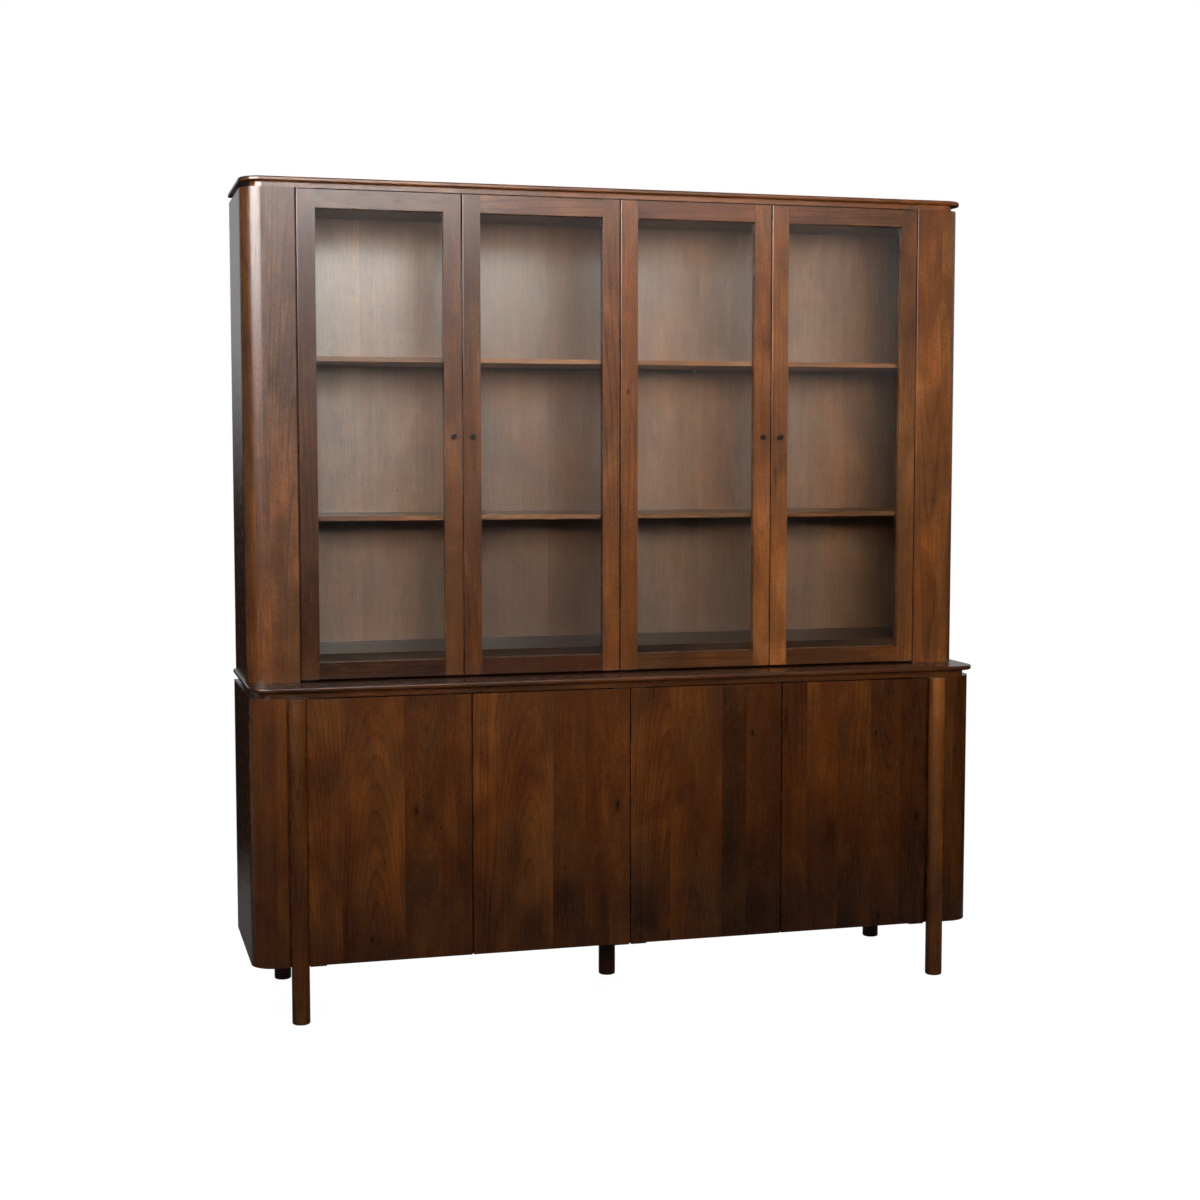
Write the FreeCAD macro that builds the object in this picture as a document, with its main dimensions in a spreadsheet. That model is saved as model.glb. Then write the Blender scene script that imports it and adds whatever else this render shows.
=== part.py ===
import FreeCAD, Part

import os
from types import SimpleNamespace

import Sketcher

# A sideboard with four plain doors that carries a shallower hutch with four glazed doors.
# Millimetres. X runs to the right seen from the front, Y to the back, Z up.
# The origin is on the floor, midway across the width and the depth.

SIZES = {
    # Base case
    "overall_depth": 500,
    "leg_height": 143,
    "base_case_width": 1996,
    "base_case_height": 692,
    "base_side_thick": 28,
    "bottom_thick": 20,
    "divider_thick": 20,
    "base_back_thick": 6,
    "back_recess": 6,
    "back_rebate": 10,
    "corner_radius": 60,
    "corner_land": 5,
    "base_shelf_height": 337,
    "base_shelf_thick": 18,
    # Round posts and legs
    "post_radius": 23,
    "post_proud": 35,
    "post_side_inset": 118,
    "post_gap": 2,
    "post_groove": 3,
    "post_foot_ease": 4,
    "post_top_ease": 1.5,
    "rear_leg_inset": 37,
    "centre_leg_setback": 235,
    # Top boards and the recessed sub-tops under them
    "board_thick": 12,
    "board_ease": 4,
    "base_board_front": 20,
    "base_board_side": 2,
    "hutch_board_front": 14,
    "hutch_board_side": 3,
    "base_sub_top_thick": 17,
    "hutch_sub_top_thick": 13,
    "sub_top_front_inset": 1,
    "sub_top_side_inset": 22,
    # Doors
    "door_gap": 3,
    "door_back_gap": 2,
    "door_overlap": 15,
    "door_stop_gap": 2.5,
    "door_ease": 2,
    "base_door_thick": 20,
    "hutch_door_thick": 22,
    "hutch_door_side_gap": 3,
    "stile_width": 47,
    "bottom_rail_height": 42,
    "top_rail_height": 46,
    "tenon_length": 25,
    "tenon_thick": 8,
    "tenon_face_inset": 4,
    "tenon_edge_inset": 6,
    "glass_thick": 4,
    "glass_setback": 15,
    "glass_rebate": 8,
    "glass_clearance": 1,
    # Hutch case
    "hutch_setback": 102,
    "hutch_side_inset": 5,
    "hutch_case_height": 1261,
    "hutch_side_thick": 28,
    "hutch_back_thick": 12,
    "hutch_floor_height": 69,
    "hutch_floor_thick": 20,
    "hutch_rail_lift": 5,
    "front_rail_thick": 26,
    "rear_rail_thick": 20,
    "top_rail_thick": 20,
    "ceiling_drop": 35,
    "ceiling_thick": 18,
    "centre_post_width": 40,
    "centre_post_depth": 40,
    "lower_shelf_height": 357,
    "upper_shelf_height": 769,
    "hutch_shelf_thick": 12,
    "shelf_front_inset": 4,
    "shelf_gap": 1.5,
    "shelf_notch_gap": 2,
    # Shelf pins
    "shelf_pin_radius": 2.5,
    "shelf_pin_reach": 8,
    "shelf_pin_hole_depth": 9,
    "shelf_pin_end_inset": 40,
    "shelf_pin_pitch": 32,
    "back_pin_x": 320,
    # Door pivots
    "pivot_inset": 5,
    "pivot_pin_radius": 2,
    "pivot_clearance": 0.05,
    "pivot_pin_reach": 5,
    "pivot_bore_radius": 3,
    "pivot_bore_extra": 1,
    "collar_radius": 4,
    "collar_thick": 1,
    "plate_thick": 2,
    "plate_edge": 1.5,
    "plate_front": 2,
    "plate_length": 42,
    "plate_width": 14,
    "foot_plate_depth": 46,
    "plate_first_screw": 20,
    "plate_screw_pitch": 15,
    "foot_screw_setback": 7,
    "foot_screw_pitch": 11,
    # Door catches and knobs
    "latch_inset": 24,
    "latch_width": 18,
    "latch_height": 22,
    "latch_length": 60,
    "latch_setback": 2,
    "plunger_radius": 4,
    "plunger_clearance": 0.05,
    "plunger_length": 36,
    "plunger_bore_depth": 42,
    "catch_width": 16,
    "catch_height": 13,
    "catch_length": 30,
    "catch_gap": 0.3,
    "catch_screw_inset": 8,
    "catch_screw_grip": 10,
    "strike_radius": 5,
    "strike_thick": 1.5,
    "knob_radius": 7,
    "knob_head": 8,
    "knob_stem_radius": 4,
    "knob_stem": 6,
    "knob_ease": 1.5,
    "knob_screw_radius": 2,
    "knob_screw_grip": 6,
    "knob_screw_head_radius": 4,
    "knob_screw_head": 2.5,
    "knob_screw_sink": 3,
    # Screws, studs and bolts
    "screw_radius": 1.5,
    "screw_length": 12,
    "screw_head_radius": 3,
    "screw_head": 1.5,
    "post_screw_radius": 2.5,
    "post_screw_head_radius": 5,
    "post_screw_head": 3,
    "post_screw_grip": 18,
    "post_screw_end_inset": 80,
    "stud_radius": 4,
    "stud_in_leg": 30,
    "stud_in_case": 13,
    "bolt_radius": 3,
    "bolt_head_radius": 6,
    "bolt_head": 4,
    "bolt_grip": 41,
    "front_bolt_inset": 93,
    "front_bolt_setback": 33,
    "rear_bolt_x": 600,
    "panel_screw_radius": 1.75,
    "panel_screw_head_radius": 3.5,
    "panel_screw_head": 2,
    "panel_screw_grip": 12,
    "panel_screw_end_inset": 90,
    "panel_screw_side_inset": 100,
}

document = FreeCAD.newDocument("sideboard_with_hutch")
sheet = document.addObject("Spreadsheet::Sheet", "Sizes")
for row, (size_name, size_number) in enumerate(SIZES.items(), 1):
    sheet.set(f"A{row}", size_name)
    sheet.set(f"B{row}", str(size_number))
    sheet.setAlias(f"B{row}", size_name)
document.recompute()


class Length:
    """A length: the sheet formula that gives it, and its number now."""

    def __init__(self, formula, number):
        self.formula = formula
        self.number = float(number)

    def __add__(self, other):
        other = as_length(other)
        return Length(f"({self.formula} + {other.formula})", self.number + other.number)

    def __sub__(self, other):
        other = as_length(other)
        return Length(f"({self.formula} - {other.formula})", self.number - other.number)

    def __mul__(self, factor):
        return Length(f"({self.formula} * {factor})", self.number * factor)

    def __truediv__(self, factor):
        return Length(f"({self.formula} / {factor})", self.number / factor)

    def __neg__(self):
        return self * -1

    def is_at(self, number):
        """Tell whether a coordinate of the shape lies at this length."""
        return abs(self.number - number) < 0.001


def as_length(value):
    """Give a plain number the same form as a length from the sheet."""
    return value if isinstance(value, Length) else Length(str(value), value)


size = SimpleNamespace(**{name: Length(f"Sizes.{name}", number) for name, number in SIZES.items()})

# Planes across the depth
rear_y = size.overall_depth / 2
front_y = -rear_y
post_y = front_y + size.post_radius
base_face_y = front_y + size.post_proud
base_case_y = base_face_y + size.base_door_thick + size.door_back_gap
base_corner_rear_y = base_face_y + size.corner_radius + size.corner_land
post_seat_y = post_y + size.post_radius - size.post_groove
base_back_y = rear_y - size.back_recess - size.base_back_thick
panel_rear_y = rear_y - size.back_recess
hutch_face_y = base_face_y + size.hutch_setback
hutch_case_y = hutch_face_y + size.hutch_door_thick + size.door_back_gap
hutch_corner_rear_y = hutch_face_y + size.corner_radius + size.corner_land
hutch_back_y = rear_y - size.back_recess - size.hutch_back_thick
base_shelf_front_y = base_corner_rear_y + size.shelf_notch_gap
hutch_shelf_front_y = hutch_case_y + size.shelf_front_inset

# Planes up the height
case_bottom_z = size.leg_height
bottom_top_z = case_bottom_z + size.bottom_thick
base_top_z = case_bottom_z + size.base_case_height
base_sub_top_z = base_top_z + size.base_sub_top_thick
hutch_z = base_sub_top_z + size.board_thick
hutch_rail_z = hutch_z + size.hutch_rail_lift
hutch_floor_z = hutch_z + size.hutch_floor_height
hutch_top_z = hutch_z + size.hutch_case_height
ceiling_z = hutch_top_z - size.ceiling_drop
hutch_sub_top_z = hutch_top_z + size.hutch_sub_top_thick
base_shelf_z = bottom_top_z + size.base_shelf_height

# Planes across the width, as distances from the middle
base_half = size.base_case_width / 2
hutch_half = base_half - size.hutch_side_inset
base_inner_x = base_half - size.base_side_thick
hutch_inner_x = hutch_half - size.hutch_side_thick
post_x = base_half - size.post_side_inset
door_outer_x = post_x - size.post_radius - size.post_gap
corner_face_x = post_x + size.post_radius + size.post_gap
post_seat_x = door_outer_x + size.door_stop_gap
stop_x = door_outer_x - size.door_overlap
hutch_corner_x = door_outer_x + size.hutch_door_side_gap
door_width = (door_outer_x - size.door_gap * 1.5) / 2

SIDES = {"left": -1, "right": 1}
LEFT_HINGED_DOORS = (1, 3)
SHELF_PIN_ROWS = (-2, -1, 1, 2)
SCREW_STEPS = 3
BASE_FOOT_SCREWS = (-3, -2, -1, 0, 1, 2, 3)
HUTCH_RAIL_SCREWS = (-3, -1, 1, 3)
HUTCH_SIDE_STEPS = 4
DIRECTIONS = {
    "+x": FreeCAD.Rotation(FreeCAD.Vector(0, 1, 0), 90),
    "+y": FreeCAD.Rotation(FreeCAD.Vector(1, 0, 0), -90),
    "-y": FreeCAD.Rotation(FreeCAD.Vector(1, 0, 0), 90),
    "+z": FreeCAD.Rotation(),
    "-z": FreeCAD.Rotation(FreeCAD.Vector(1, 0, 0), 180),
}
nodes = {}


# Building blocks

def keep(name, thing):
    """Name a finished sub-part and list it for its file."""
    thing.Label = name
    nodes[name] = thing
    return thing


def bind(thing, prop, value):
    """Tie a property to the sheet."""
    thing.setExpression(prop, as_length(value).formula)


def place(thing, point):
    """Tie a position to the sheet."""
    for axis, value in zip("xyz", point):
        bind(thing, f"Placement.Base.{axis}", value)


def shape_block(box, spans):
    """Give a box its three sides and its low corner."""
    for side, (low, high) in zip(("Length", "Width", "Height"), spans):
        bind(box, side, high - low)
    place(box, [low for low, high in spans])
    return box


def block(name, *spans):
    """Make a plain box from its spans along X, Y and Z."""
    return shape_block(document.addObject("Part::Box", name), spans)


def rod(name, start, direction, radius, length):
    """Make a cylinder that runs from a point along a direction."""
    cylinder = document.addObject("Part::Cylinder", name)
    cylinder.Placement = FreeCAD.Placement(FreeCAD.Vector(), DIRECTIONS[direction])
    bind(cylinder, "Radius", radius)
    bind(cylinder, "Height", length)
    place(cylinder, start)
    return cylinder


def taper(name, start, direction, start_radius, end_radius, length):
    """Make a cone that runs from a point along a direction."""
    cone = document.addObject("Part::Cone", name)
    cone.Placement = FreeCAD.Placement(FreeCAD.Vector(), DIRECTIONS[direction])
    bind(cone, "Radius1", start_radius)
    bind(cone, "Radius2", end_radius)
    bind(cone, "Height", length)
    place(cone, start)
    return cone


def fused(name, *shapes):
    """Join overlapping shapes into one solid."""
    joint = document.addObject("Part::MultiFuse", name)
    joint.Shapes = list(shapes)
    return joint


def group(name, shapes):
    """Hold separate solids together as one sub-part."""
    compound = document.addObject("Part::Compound", name)
    compound.Links = list(shapes)
    return compound


def cut(name, base, tools):
    """Cut every tool out of a base."""
    difference = document.addObject("Part::Cut", name)
    difference.Base = base
    difference.Tool = group(f"{name}_tools", tools)
    return difference


def body_of(name, *spans):
    """Start a body from one box."""
    body = document.addObject("PartDesign::Body", f"{name}_body")
    shape_block(body.newObject("PartDesign::AdditiveBox", f"{name}_block"), spans)
    return body


def add_block(body, *spans):
    """Add a box to a body."""
    shape_block(body.newObject("PartDesign::AdditiveBox", f"{body.Name}_add"), spans)


def remove_block(body, *spans):
    """Take a box out of a body."""
    shape_block(body.newObject("PartDesign::SubtractiveBox", f"{body.Name}_remove"), spans)


def prism(name, points, bottom_z, top_z):
    """Pad an outline in plan between two heights."""
    body = document.addObject("PartDesign::Body", f"{name}_body")
    plan = next(plane for plane in body.Origin.OriginFeatures if plane.Role == "XY_Plane")
    sketch = body.newObject("Sketcher::SketchObject", f"{name}_outline")
    sketch.AttachmentSupport = [(plan, "")]
    sketch.MapMode = "FlatFace"
    bind(sketch, "AttachmentOffset.Base.z", bottom_z)
    corners = [FreeCAD.Vector(x.number, y.number, 0) for x, y in points]
    for number, corner in enumerate(corners):
        sketch.addGeometry(Part.LineSegment(corner, corners[(number + 1) % len(corners)]))
    for number in range(len(corners)):
        following = (number + 1) % len(corners)
        sketch.addConstraint(Sketcher.Constraint("Coincident", number, 2, following, 1))
    for number, point in enumerate(points):
        for kind, value in zip(("DistanceX", "DistanceY"), point):
            constraint = Sketcher.Constraint(kind, -1, 1, number, 1, value.number)
            index = sketch.addConstraint(constraint)
            bind(sketch, f"Constraints[{index}]", value)
    pad = body.newObject("PartDesign::Pad", f"{name}_pad")
    pad.Profile = sketch
    bind(pad, "Length", top_z - bottom_z)
    return body


def round_edges(body, wanted, radius):
    """Fillet the edges of a body that a test picks."""
    document.recompute()
    tip = body.Tip
    names = [f"Edge{number}" for number, edge in enumerate(tip.Shape.Edges, 1) if wanted(edge)]
    fillet = body.newObject("PartDesign::Fillet", f"{body.Name}_fillet")
    fillet.Base = (tip, names)
    bind(fillet, "Radius", radius)


def upright_at(x, y):
    """Pick the upright edge that stands at a point in plan."""
    def wanted(edge):
        ends = edge.Vertexes
        return len(ends) == 2 and all(x.is_at(end.X) and y.is_at(end.Y) for end in ends)
    return wanted


def upright_on_any(xs):
    """Pick the upright edges that stand on any of some planes across the width."""
    def wanted(edge):
        ends = edge.Vertexes
        upright = len(ends) == 2 and abs(ends[0].X - ends[1].X) + abs(ends[0].Y - ends[1].Y) < 0.001
        return upright and any(x.is_at(ends[0].X) for x in xs)
    return wanted


def level_at(heights, open_y):
    """Pick the edges at given heights, leaving out those on the plane open_y."""
    def wanted(edge):
        box = edge.BoundBox
        at_height = any(height.is_at(box.ZMin) and height.is_at(box.ZMax) for height in heights)
        on_open_plane = open_y.is_at(box.YMin) and open_y.is_at(box.YMax)
        return at_height and not on_open_plane
    return wanted


def mirrored_span(sign, near, far):
    """Give the span between two distances from the middle, on one side of it."""
    return (near, far) if sign > 0 else (-far, -near)


def screw(name, start, direction, head_radius, head, radius, length):
    """Make a countersunk screw whose head is flush with its start."""
    cone = taper(f"{name}_head", start, direction, head_radius, radius, head)
    return fused(name, cone, rod(f"{name}_shank", start, direction, radius, length))


def small_screw(name, start, direction, length=size.screw_length):
    """Make one of the screws that hold the door fittings."""
    head = (size.screw_head_radius, size.screw_head)
    return screw(name, start, direction, *head, size.screw_radius, length)


# Doors and what they hang on

class Door:
    """The place of one door: its edges, its pivot side and the case planes above and below."""

    def __init__(self, name, number, face_y, case_y, thick, case_z):
        self.name = name
        self.face_y = face_y
        self.case_y = case_y
        self.rear_y = face_y + thick
        self.case_bottom_z, self.case_top_z = case_z
        self.bottom_z = self.case_bottom_z + size.collar_thick
        self.top_z = self.case_top_z - size.plate_thick - size.collar_thick
        outer = (door_outer_x - door_width, door_outer_x)
        middle = (size.door_gap / 2, size.door_gap / 2 + door_width)
        side = -1 if number <= 2 else 1
        self.xs = mirrored_span(side, *(outer if number in (1, 4) else middle))
        self.inward = 1 if number in LEFT_HINGED_DOORS else -1
        self.hinge_x, self.free_x = self.xs if self.inward > 0 else self.xs[::-1]

    def from_hinge(self, distance):
        """Give the place at a distance from the pivot edge."""
        return self.hinge_x + distance * self.inward

    def from_free(self, distance):
        """Give the place at a distance from the free edge."""
        return self.free_x - distance * self.inward

    def span_from_hinge(self, near, far):
        """Give the span between two distances from the pivot edge."""
        ends = (self.from_hinge(near), self.from_hinge(far))
        return ends if self.inward > 0 else ends[::-1]


def door_list(prefix, face_y, case_y, thick, case_z):
    """Lay out the four doors of one case."""
    return [
        Door(f"{prefix}_door_{number}", number, face_y, case_y, thick, case_z)
        for number in (1, 2, 3, 4)
    ]


class PivotSet:
    """The plates, pins and screws that one door swings on."""

    def __init__(self, door):
        name = door.name
        plate_far = size.plate_edge + size.plate_length
        xs = door.span_from_hinge(size.plate_edge, plate_far)
        plate_y = door.face_y + size.plate_front
        ys = (plate_y, plate_y + size.plate_width)
        foot_ys = (plate_y, plate_y + size.foot_plate_depth)
        pivot = (door.from_hinge(size.pivot_inset), door.face_y + size.pivot_inset)
        screw_xs = [size.plate_first_screw, size.plate_first_screw + size.plate_screw_pitch]
        screw_points = [(door.from_hinge(distance), (ys[0] + ys[1]) / 2) for distance in screw_xs]
        foot_x = door.from_hinge((size.plate_edge + plate_far) / 2)
        foot_screw_y = door.case_y + size.foot_screw_setback
        foot_points = [(foot_x, foot_screw_y), (foot_x, foot_screw_y + size.foot_screw_pitch)]
        levels = {
            "head": (door.case_top_z - size.plate_thick, door.case_top_z, "+z", ys, screw_points),
            "foot": (door.case_bottom_z - size.plate_thick, door.case_bottom_z, "+z", foot_ys, foot_points),
            "top": (door.top_z - size.plate_thick, door.top_z, "-z", ys, screw_points),
            "bottom": (door.bottom_z, door.bottom_z + size.plate_thick, "+z", ys, screw_points),
        }
        self.blanks = {}
        self.screws = {}
        for place_name, (low, high, direction, plate_ys, points) in levels.items():
            part = f"{name}_{place_name}"
            start_z = high if direction == "-z" else low
            self.blanks[place_name] = block(f"{part}_plate_blank", xs, plate_ys, (low, high))
            self.screws[place_name] = [
                small_screw(f"{part}_screw_{count}", (x, y, start_z), direction)
                for count, (x, y) in enumerate(points)
            ]
        self.pins = {
            "head": self.pin(f"{name}_head", pivot, door.case_top_z, "-z"),
            "foot": self.pin(f"{name}_foot", pivot, door.case_bottom_z - size.plate_thick, "+z"),
        }
        bore_depth = size.plate_thick + size.pivot_pin_reach + size.pivot_bore_extra
        self.bores = [
            rod(f"{name}_top_bore", (*pivot, door.top_z), "-z", size.pivot_bore_radius, bore_depth),
            rod(f"{name}_bottom_bore", (*pivot, door.bottom_z), "+z", size.pivot_bore_radius, bore_depth),
        ]
        running_radius = size.pivot_pin_radius + size.pivot_clearance
        eye_start = (*pivot, door.bottom_z)
        eye = rod(f"{name}_eye", eye_start, "+z", running_radius, door.top_z - door.bottom_z)
        self.case_plates = [
            cut(f"{name}_{end}_plate", self.blanks[end], [self.pins[end], *self.screws[end]])
            for end in ("head", "foot")
        ]
        self.door_plates = [
            cut(f"{name}_{end}_plate", self.blanks[end], [eye, *self.screws[end]])
            for end in ("top", "bottom")
        ]

    @staticmethod
    def pin(name, pivot, start_z, direction):
        """Make a shouldered pin that starts flush with the far face of its case plate."""
        through = size.plate_thick * 2 + size.collar_thick + size.pivot_pin_reach
        shaft = rod(f"{name}_pin_shaft", (*pivot, start_z), direction, size.pivot_pin_radius, through)
        rise = size.plate_thick if direction == "+z" else -size.plate_thick
        collar_start = (*pivot, start_z + rise)
        collar = rod(f"{name}_collar", collar_start, direction, size.collar_radius, size.collar_thick)
        return fused(f"{name}_pin", shaft, collar)

    def door_tools(self):
        """List what the door is cut for: plates, pin bores and screws."""
        screws = [*self.screws["top"], *self.screws["bottom"]]
        return [self.blanks["top"], self.blanks["bottom"], *self.bores, *screws]


class Catch:
    """A catch behind the free edge of a door: housing, strike plate and screws."""

    def __init__(self, door, inset, width, height, length, front_y, ceiling):
        name = door.name
        x = door.from_free(inset)
        self.centre = (x, ceiling - height / 2)
        spans = ((x - width / 2, x + width / 2), (front_y, front_y + length), (ceiling - height, ceiling))
        self.blank = block(f"{name}_catch_blank", *spans)
        screw_start = (x, front_y + length - size.catch_screw_inset, ceiling - height)
        self.screw = small_screw(f"{name}_catch_screw", screw_start, "+z", height + size.catch_screw_grip)
        strike_start = (x, door.rear_y - size.strike_thick, self.centre[1])
        self.strike = rod(f"{name}_strike", strike_start, "+y", size.strike_radius, size.strike_thick)


base_doors = door_list("base", base_face_y, base_case_y, size.base_door_thick, (case_bottom_z, base_top_z))
hutch_case_zs = (hutch_rail_z, hutch_top_z)
hutch_doors = door_list("hutch", hutch_face_y, hutch_case_y, size.hutch_door_thick, hutch_case_zs)
pivots = {door.name: PivotSet(door) for door in base_doors + hutch_doors}

latch_front_y = base_case_y + size.latch_setback
latches = {
    door.name: Catch(
        door, size.latch_inset, size.latch_width, size.latch_height, size.latch_length,
        latch_front_y, base_top_z,
    )
    for door in base_doors
}
catches = {
    door.name: Catch(
        door, size.stile_width / 2, size.catch_width, size.catch_height, size.catch_length,
        door.rear_y + size.catch_gap, ceiling_z,
    )
    for door in hutch_doors
}


def build_base_door(door):
    """Make a plain door with eased upright edges, let in for its fittings."""
    body = body_of(door.name, door.xs, (door.face_y, door.rear_y), (door.bottom_z, door.top_z))
    round_edges(body, upright_on_any(door.xs), size.door_ease)
    pivot = pivots[door.name]
    strike = latches[door.name].strike
    keep(door.name, cut(f"{door.name}_cut", body, [*pivot.door_tools(), strike]))
    fittings = [*pivot.door_plates, *pivot.screws["top"], *pivot.screws["bottom"], strike]
    keep(f"{door.name}_fittings", group(f"{door.name}_fittings", fittings))


def build_plunger(door):
    """Make the sprung plunger of a push latch, a hair clear of its strike plate."""
    x, z = latches[door.name].centre
    start = (x, door.rear_y + size.catch_gap, z)
    name = door.name.replace("base_door", "latch_plunger")
    keep(name, rod(name, start, "+y", size.plunger_radius, size.plunger_length))


class GlazedFrame:
    """The frame of one glazed door, its pane, beads, knob and fittings."""

    def __init__(self, door):
        self.door = door
        self.ys = (door.face_y, door.rear_y)
        self.glass_y = door.face_y + size.glass_setback
        self.bead_y = self.glass_y + size.glass_thick
        self.opening_x = (door.xs[0] + size.stile_width, door.xs[1] - size.stile_width)
        self.opening_z = (door.bottom_z + size.bottom_rail_height, door.top_z - size.top_rail_height)
        self.rebate_x = (self.opening_x[0] - size.glass_rebate, self.opening_x[1] + size.glass_rebate)
        self.rebate_z = (self.opening_z[0] - size.glass_rebate, self.opening_z[1] + size.glass_rebate)
        tenon_y = door.face_y + size.tenon_face_inset
        self.tenon_ys = (tenon_y, tenon_y + size.tenon_thick)
        self.rails = {
            "bottom_rail": (door.bottom_z, self.opening_z[0]),
            "top_rail": (self.opening_z[1], door.top_z),
        }
        self.knob_at = (door.from_free(size.stile_width / 2), (door.bottom_z + door.top_z) / 2)

    def tenon_zs(self, rail_zs):
        """Give the height span of the tenons of a rail."""
        return (rail_zs[0] + size.tenon_edge_inset, rail_zs[1] - size.tenon_edge_inset)

    def stile(self, edge, xs, outer_x, tools):
        """Make one upright of the frame."""
        body = body_of(f"{self.door.name}_{edge}", xs, self.ys, (self.door.bottom_z, self.door.top_z))
        round_edges(body, upright_on_any([outer_x]), size.door_ease)
        inner_x = xs[1] if outer_x is xs[0] else xs[0]
        toward_outer = -1 if outer_x is xs[0] else 1
        rebate_x = inner_x + size.glass_rebate * toward_outer
        tenon_x = inner_x + size.tenon_length * toward_outer
        rebate = (inner_x, rebate_x) if toward_outer > 0 else (rebate_x, inner_x)
        mortise = (inner_x, tenon_x) if toward_outer > 0 else (tenon_x, inner_x)
        remove_block(body, rebate, (self.glass_y, self.door.rear_y), self.rebate_z)
        for rail_zs in self.rails.values():
            remove_block(body, mortise, self.tenon_ys, self.tenon_zs(rail_zs))
        return cut(f"{self.door.name}_{edge}_cut", body, tools)

    def rail(self, edge, rebate_zs, tools):
        """Make one cross piece of the frame with its tenons."""
        zs = self.rails[edge]
        body = body_of(f"{self.door.name}_{edge}", self.opening_x, self.ys, zs)
        tenon_xs = (self.opening_x[0] - size.tenon_length, self.opening_x[1] + size.tenon_length)
        add_block(body, tenon_xs, self.tenon_ys, self.tenon_zs(zs))
        remove_block(body, self.opening_x, (self.glass_y, self.door.rear_y), rebate_zs)
        return cut(f"{self.door.name}_{edge}_cut", body, tools)

    def beads(self):
        """Make the four strips that hold the pane in its rebate."""
        name = self.door.name
        ys = (self.bead_y, self.door.rear_y)
        low_zs = (self.rebate_z[0], self.opening_z[0])
        high_zs = (self.opening_z[1], self.rebate_z[1])
        left_xs = (self.rebate_x[0], self.opening_x[0])
        right_xs = (self.opening_x[1], self.rebate_x[1])
        return [
            block(f"{name}_bottom_bead", self.rebate_x, ys, low_zs),
            block(f"{name}_top_bead", self.rebate_x, ys, high_zs),
            block(f"{name}_left_bead", left_xs, ys, self.opening_z),
            block(f"{name}_right_bead", right_xs, ys, self.opening_z),
        ]

    def knob_screw(self):
        """Make the screw that runs from the back of the stile into the knob."""
        name = self.door.name
        x, z = self.knob_at
        start = (x, self.door.rear_y - size.knob_screw_sink, z)
        head_sizes = (size.knob_screw_head_radius, size.knob_screw_head)
        head = rod(f"{name}_knob_screw_head", start, "+y", *head_sizes)
        reach = start[1] - self.door.face_y + size.knob_screw_grip
        shank = rod(f"{name}_knob_screw_shank", start, "-y", size.knob_screw_radius, reach)
        return fused(f"{name}_knob_screw", head, shank)

    def knob(self, tools):
        """Make the turned knob."""
        name = f"{self.door.name}_knob"
        x, z = self.knob_at
        body = document.addObject("PartDesign::Body", f"{name}_body")
        stem_y = self.door.face_y - size.knob_stem
        turned = (
            ("stem", self.door.face_y, size.knob_stem_radius, size.knob_stem),
            ("head", stem_y, size.knob_radius, size.knob_head),
        )
        for part, start_y, radius, length in turned:
            cylinder = body.newObject("PartDesign::AdditiveCylinder", f"{name}_{part}")
            cylinder.Placement = FreeCAD.Placement(FreeCAD.Vector(), DIRECTIONS["-y"])
            bind(cylinder, "Radius", radius)
            bind(cylinder, "Height", length)
            place(cylinder, (x, start_y, z))
        round_edges(body, self.on_plane(stem_y - size.knob_head, stem_y), size.knob_ease)
        return cut(f"{name}_cut", body, tools)

    @staticmethod
    def on_plane(*planes):
        """Pick the rim edges of the knob's head that lie on given planes across the depth."""
        def wanted(edge):
            box = edge.BoundBox
            rim = box.XLength > 2 * size.knob_stem_radius.number + 0.001
            return rim and any(plane.is_at(box.YMin) and plane.is_at(box.YMax) for plane in planes)
        return wanted

    def build(self):
        """Make every piece of the door."""
        door = self.door
        name = door.name
        pivot = pivots[name]
        strike = catches[name].strike
        knob_screw = self.knob_screw()
        sink_start = (self.knob_at[0], door.rear_y - size.knob_screw_sink, self.knob_at[1])
        sink = rod(f"{name}_knob_sink", sink_start, "+y", size.knob_screw_head_radius, size.knob_screw_sink)
        left = (door.xs[0], self.opening_x[0])
        right = (self.opening_x[1], door.xs[1])
        hinge_tools = pivot.door_tools()
        free_tools = [strike, knob_screw, sink]
        left_tools, right_tools = (hinge_tools, free_tools) if door.inward > 0 else (free_tools, hinge_tools)
        pieces = [
            self.stile("left_stile", left, left[0], left_tools),
            self.stile("right_stile", right, right[1], right_tools),
            self.rail("bottom_rail", (self.rebate_z[0], self.opening_z[0]), pivot.screws["bottom"]),
            self.rail("top_rail", (self.opening_z[1], self.rebate_z[1]), pivot.screws["top"]),
            *self.beads(),
        ]
        keep(f"{name}_frame", group(f"{name}_frame", pieces))
        edge = size.glass_clearance
        pane_x = (self.rebate_x[0] + edge, self.rebate_x[1] - edge)
        pane_z = (self.rebate_z[0] + edge, self.rebate_z[1] - edge)
        keep(f"{name}_glass", block(f"{name}_glass", pane_x, (self.glass_y, self.bead_y), pane_z))
        keep(f"{name}_knob", self.knob([knob_screw]))
        screws = [*pivot.screws["top"], *pivot.screws["bottom"]]
        fittings = [*pivot.door_plates, *screws, strike, knob_screw]
        keep(f"{name}_fittings", group(f"{name}_fittings", fittings))


# Screws, studs, bolts and shelf pins

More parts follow.
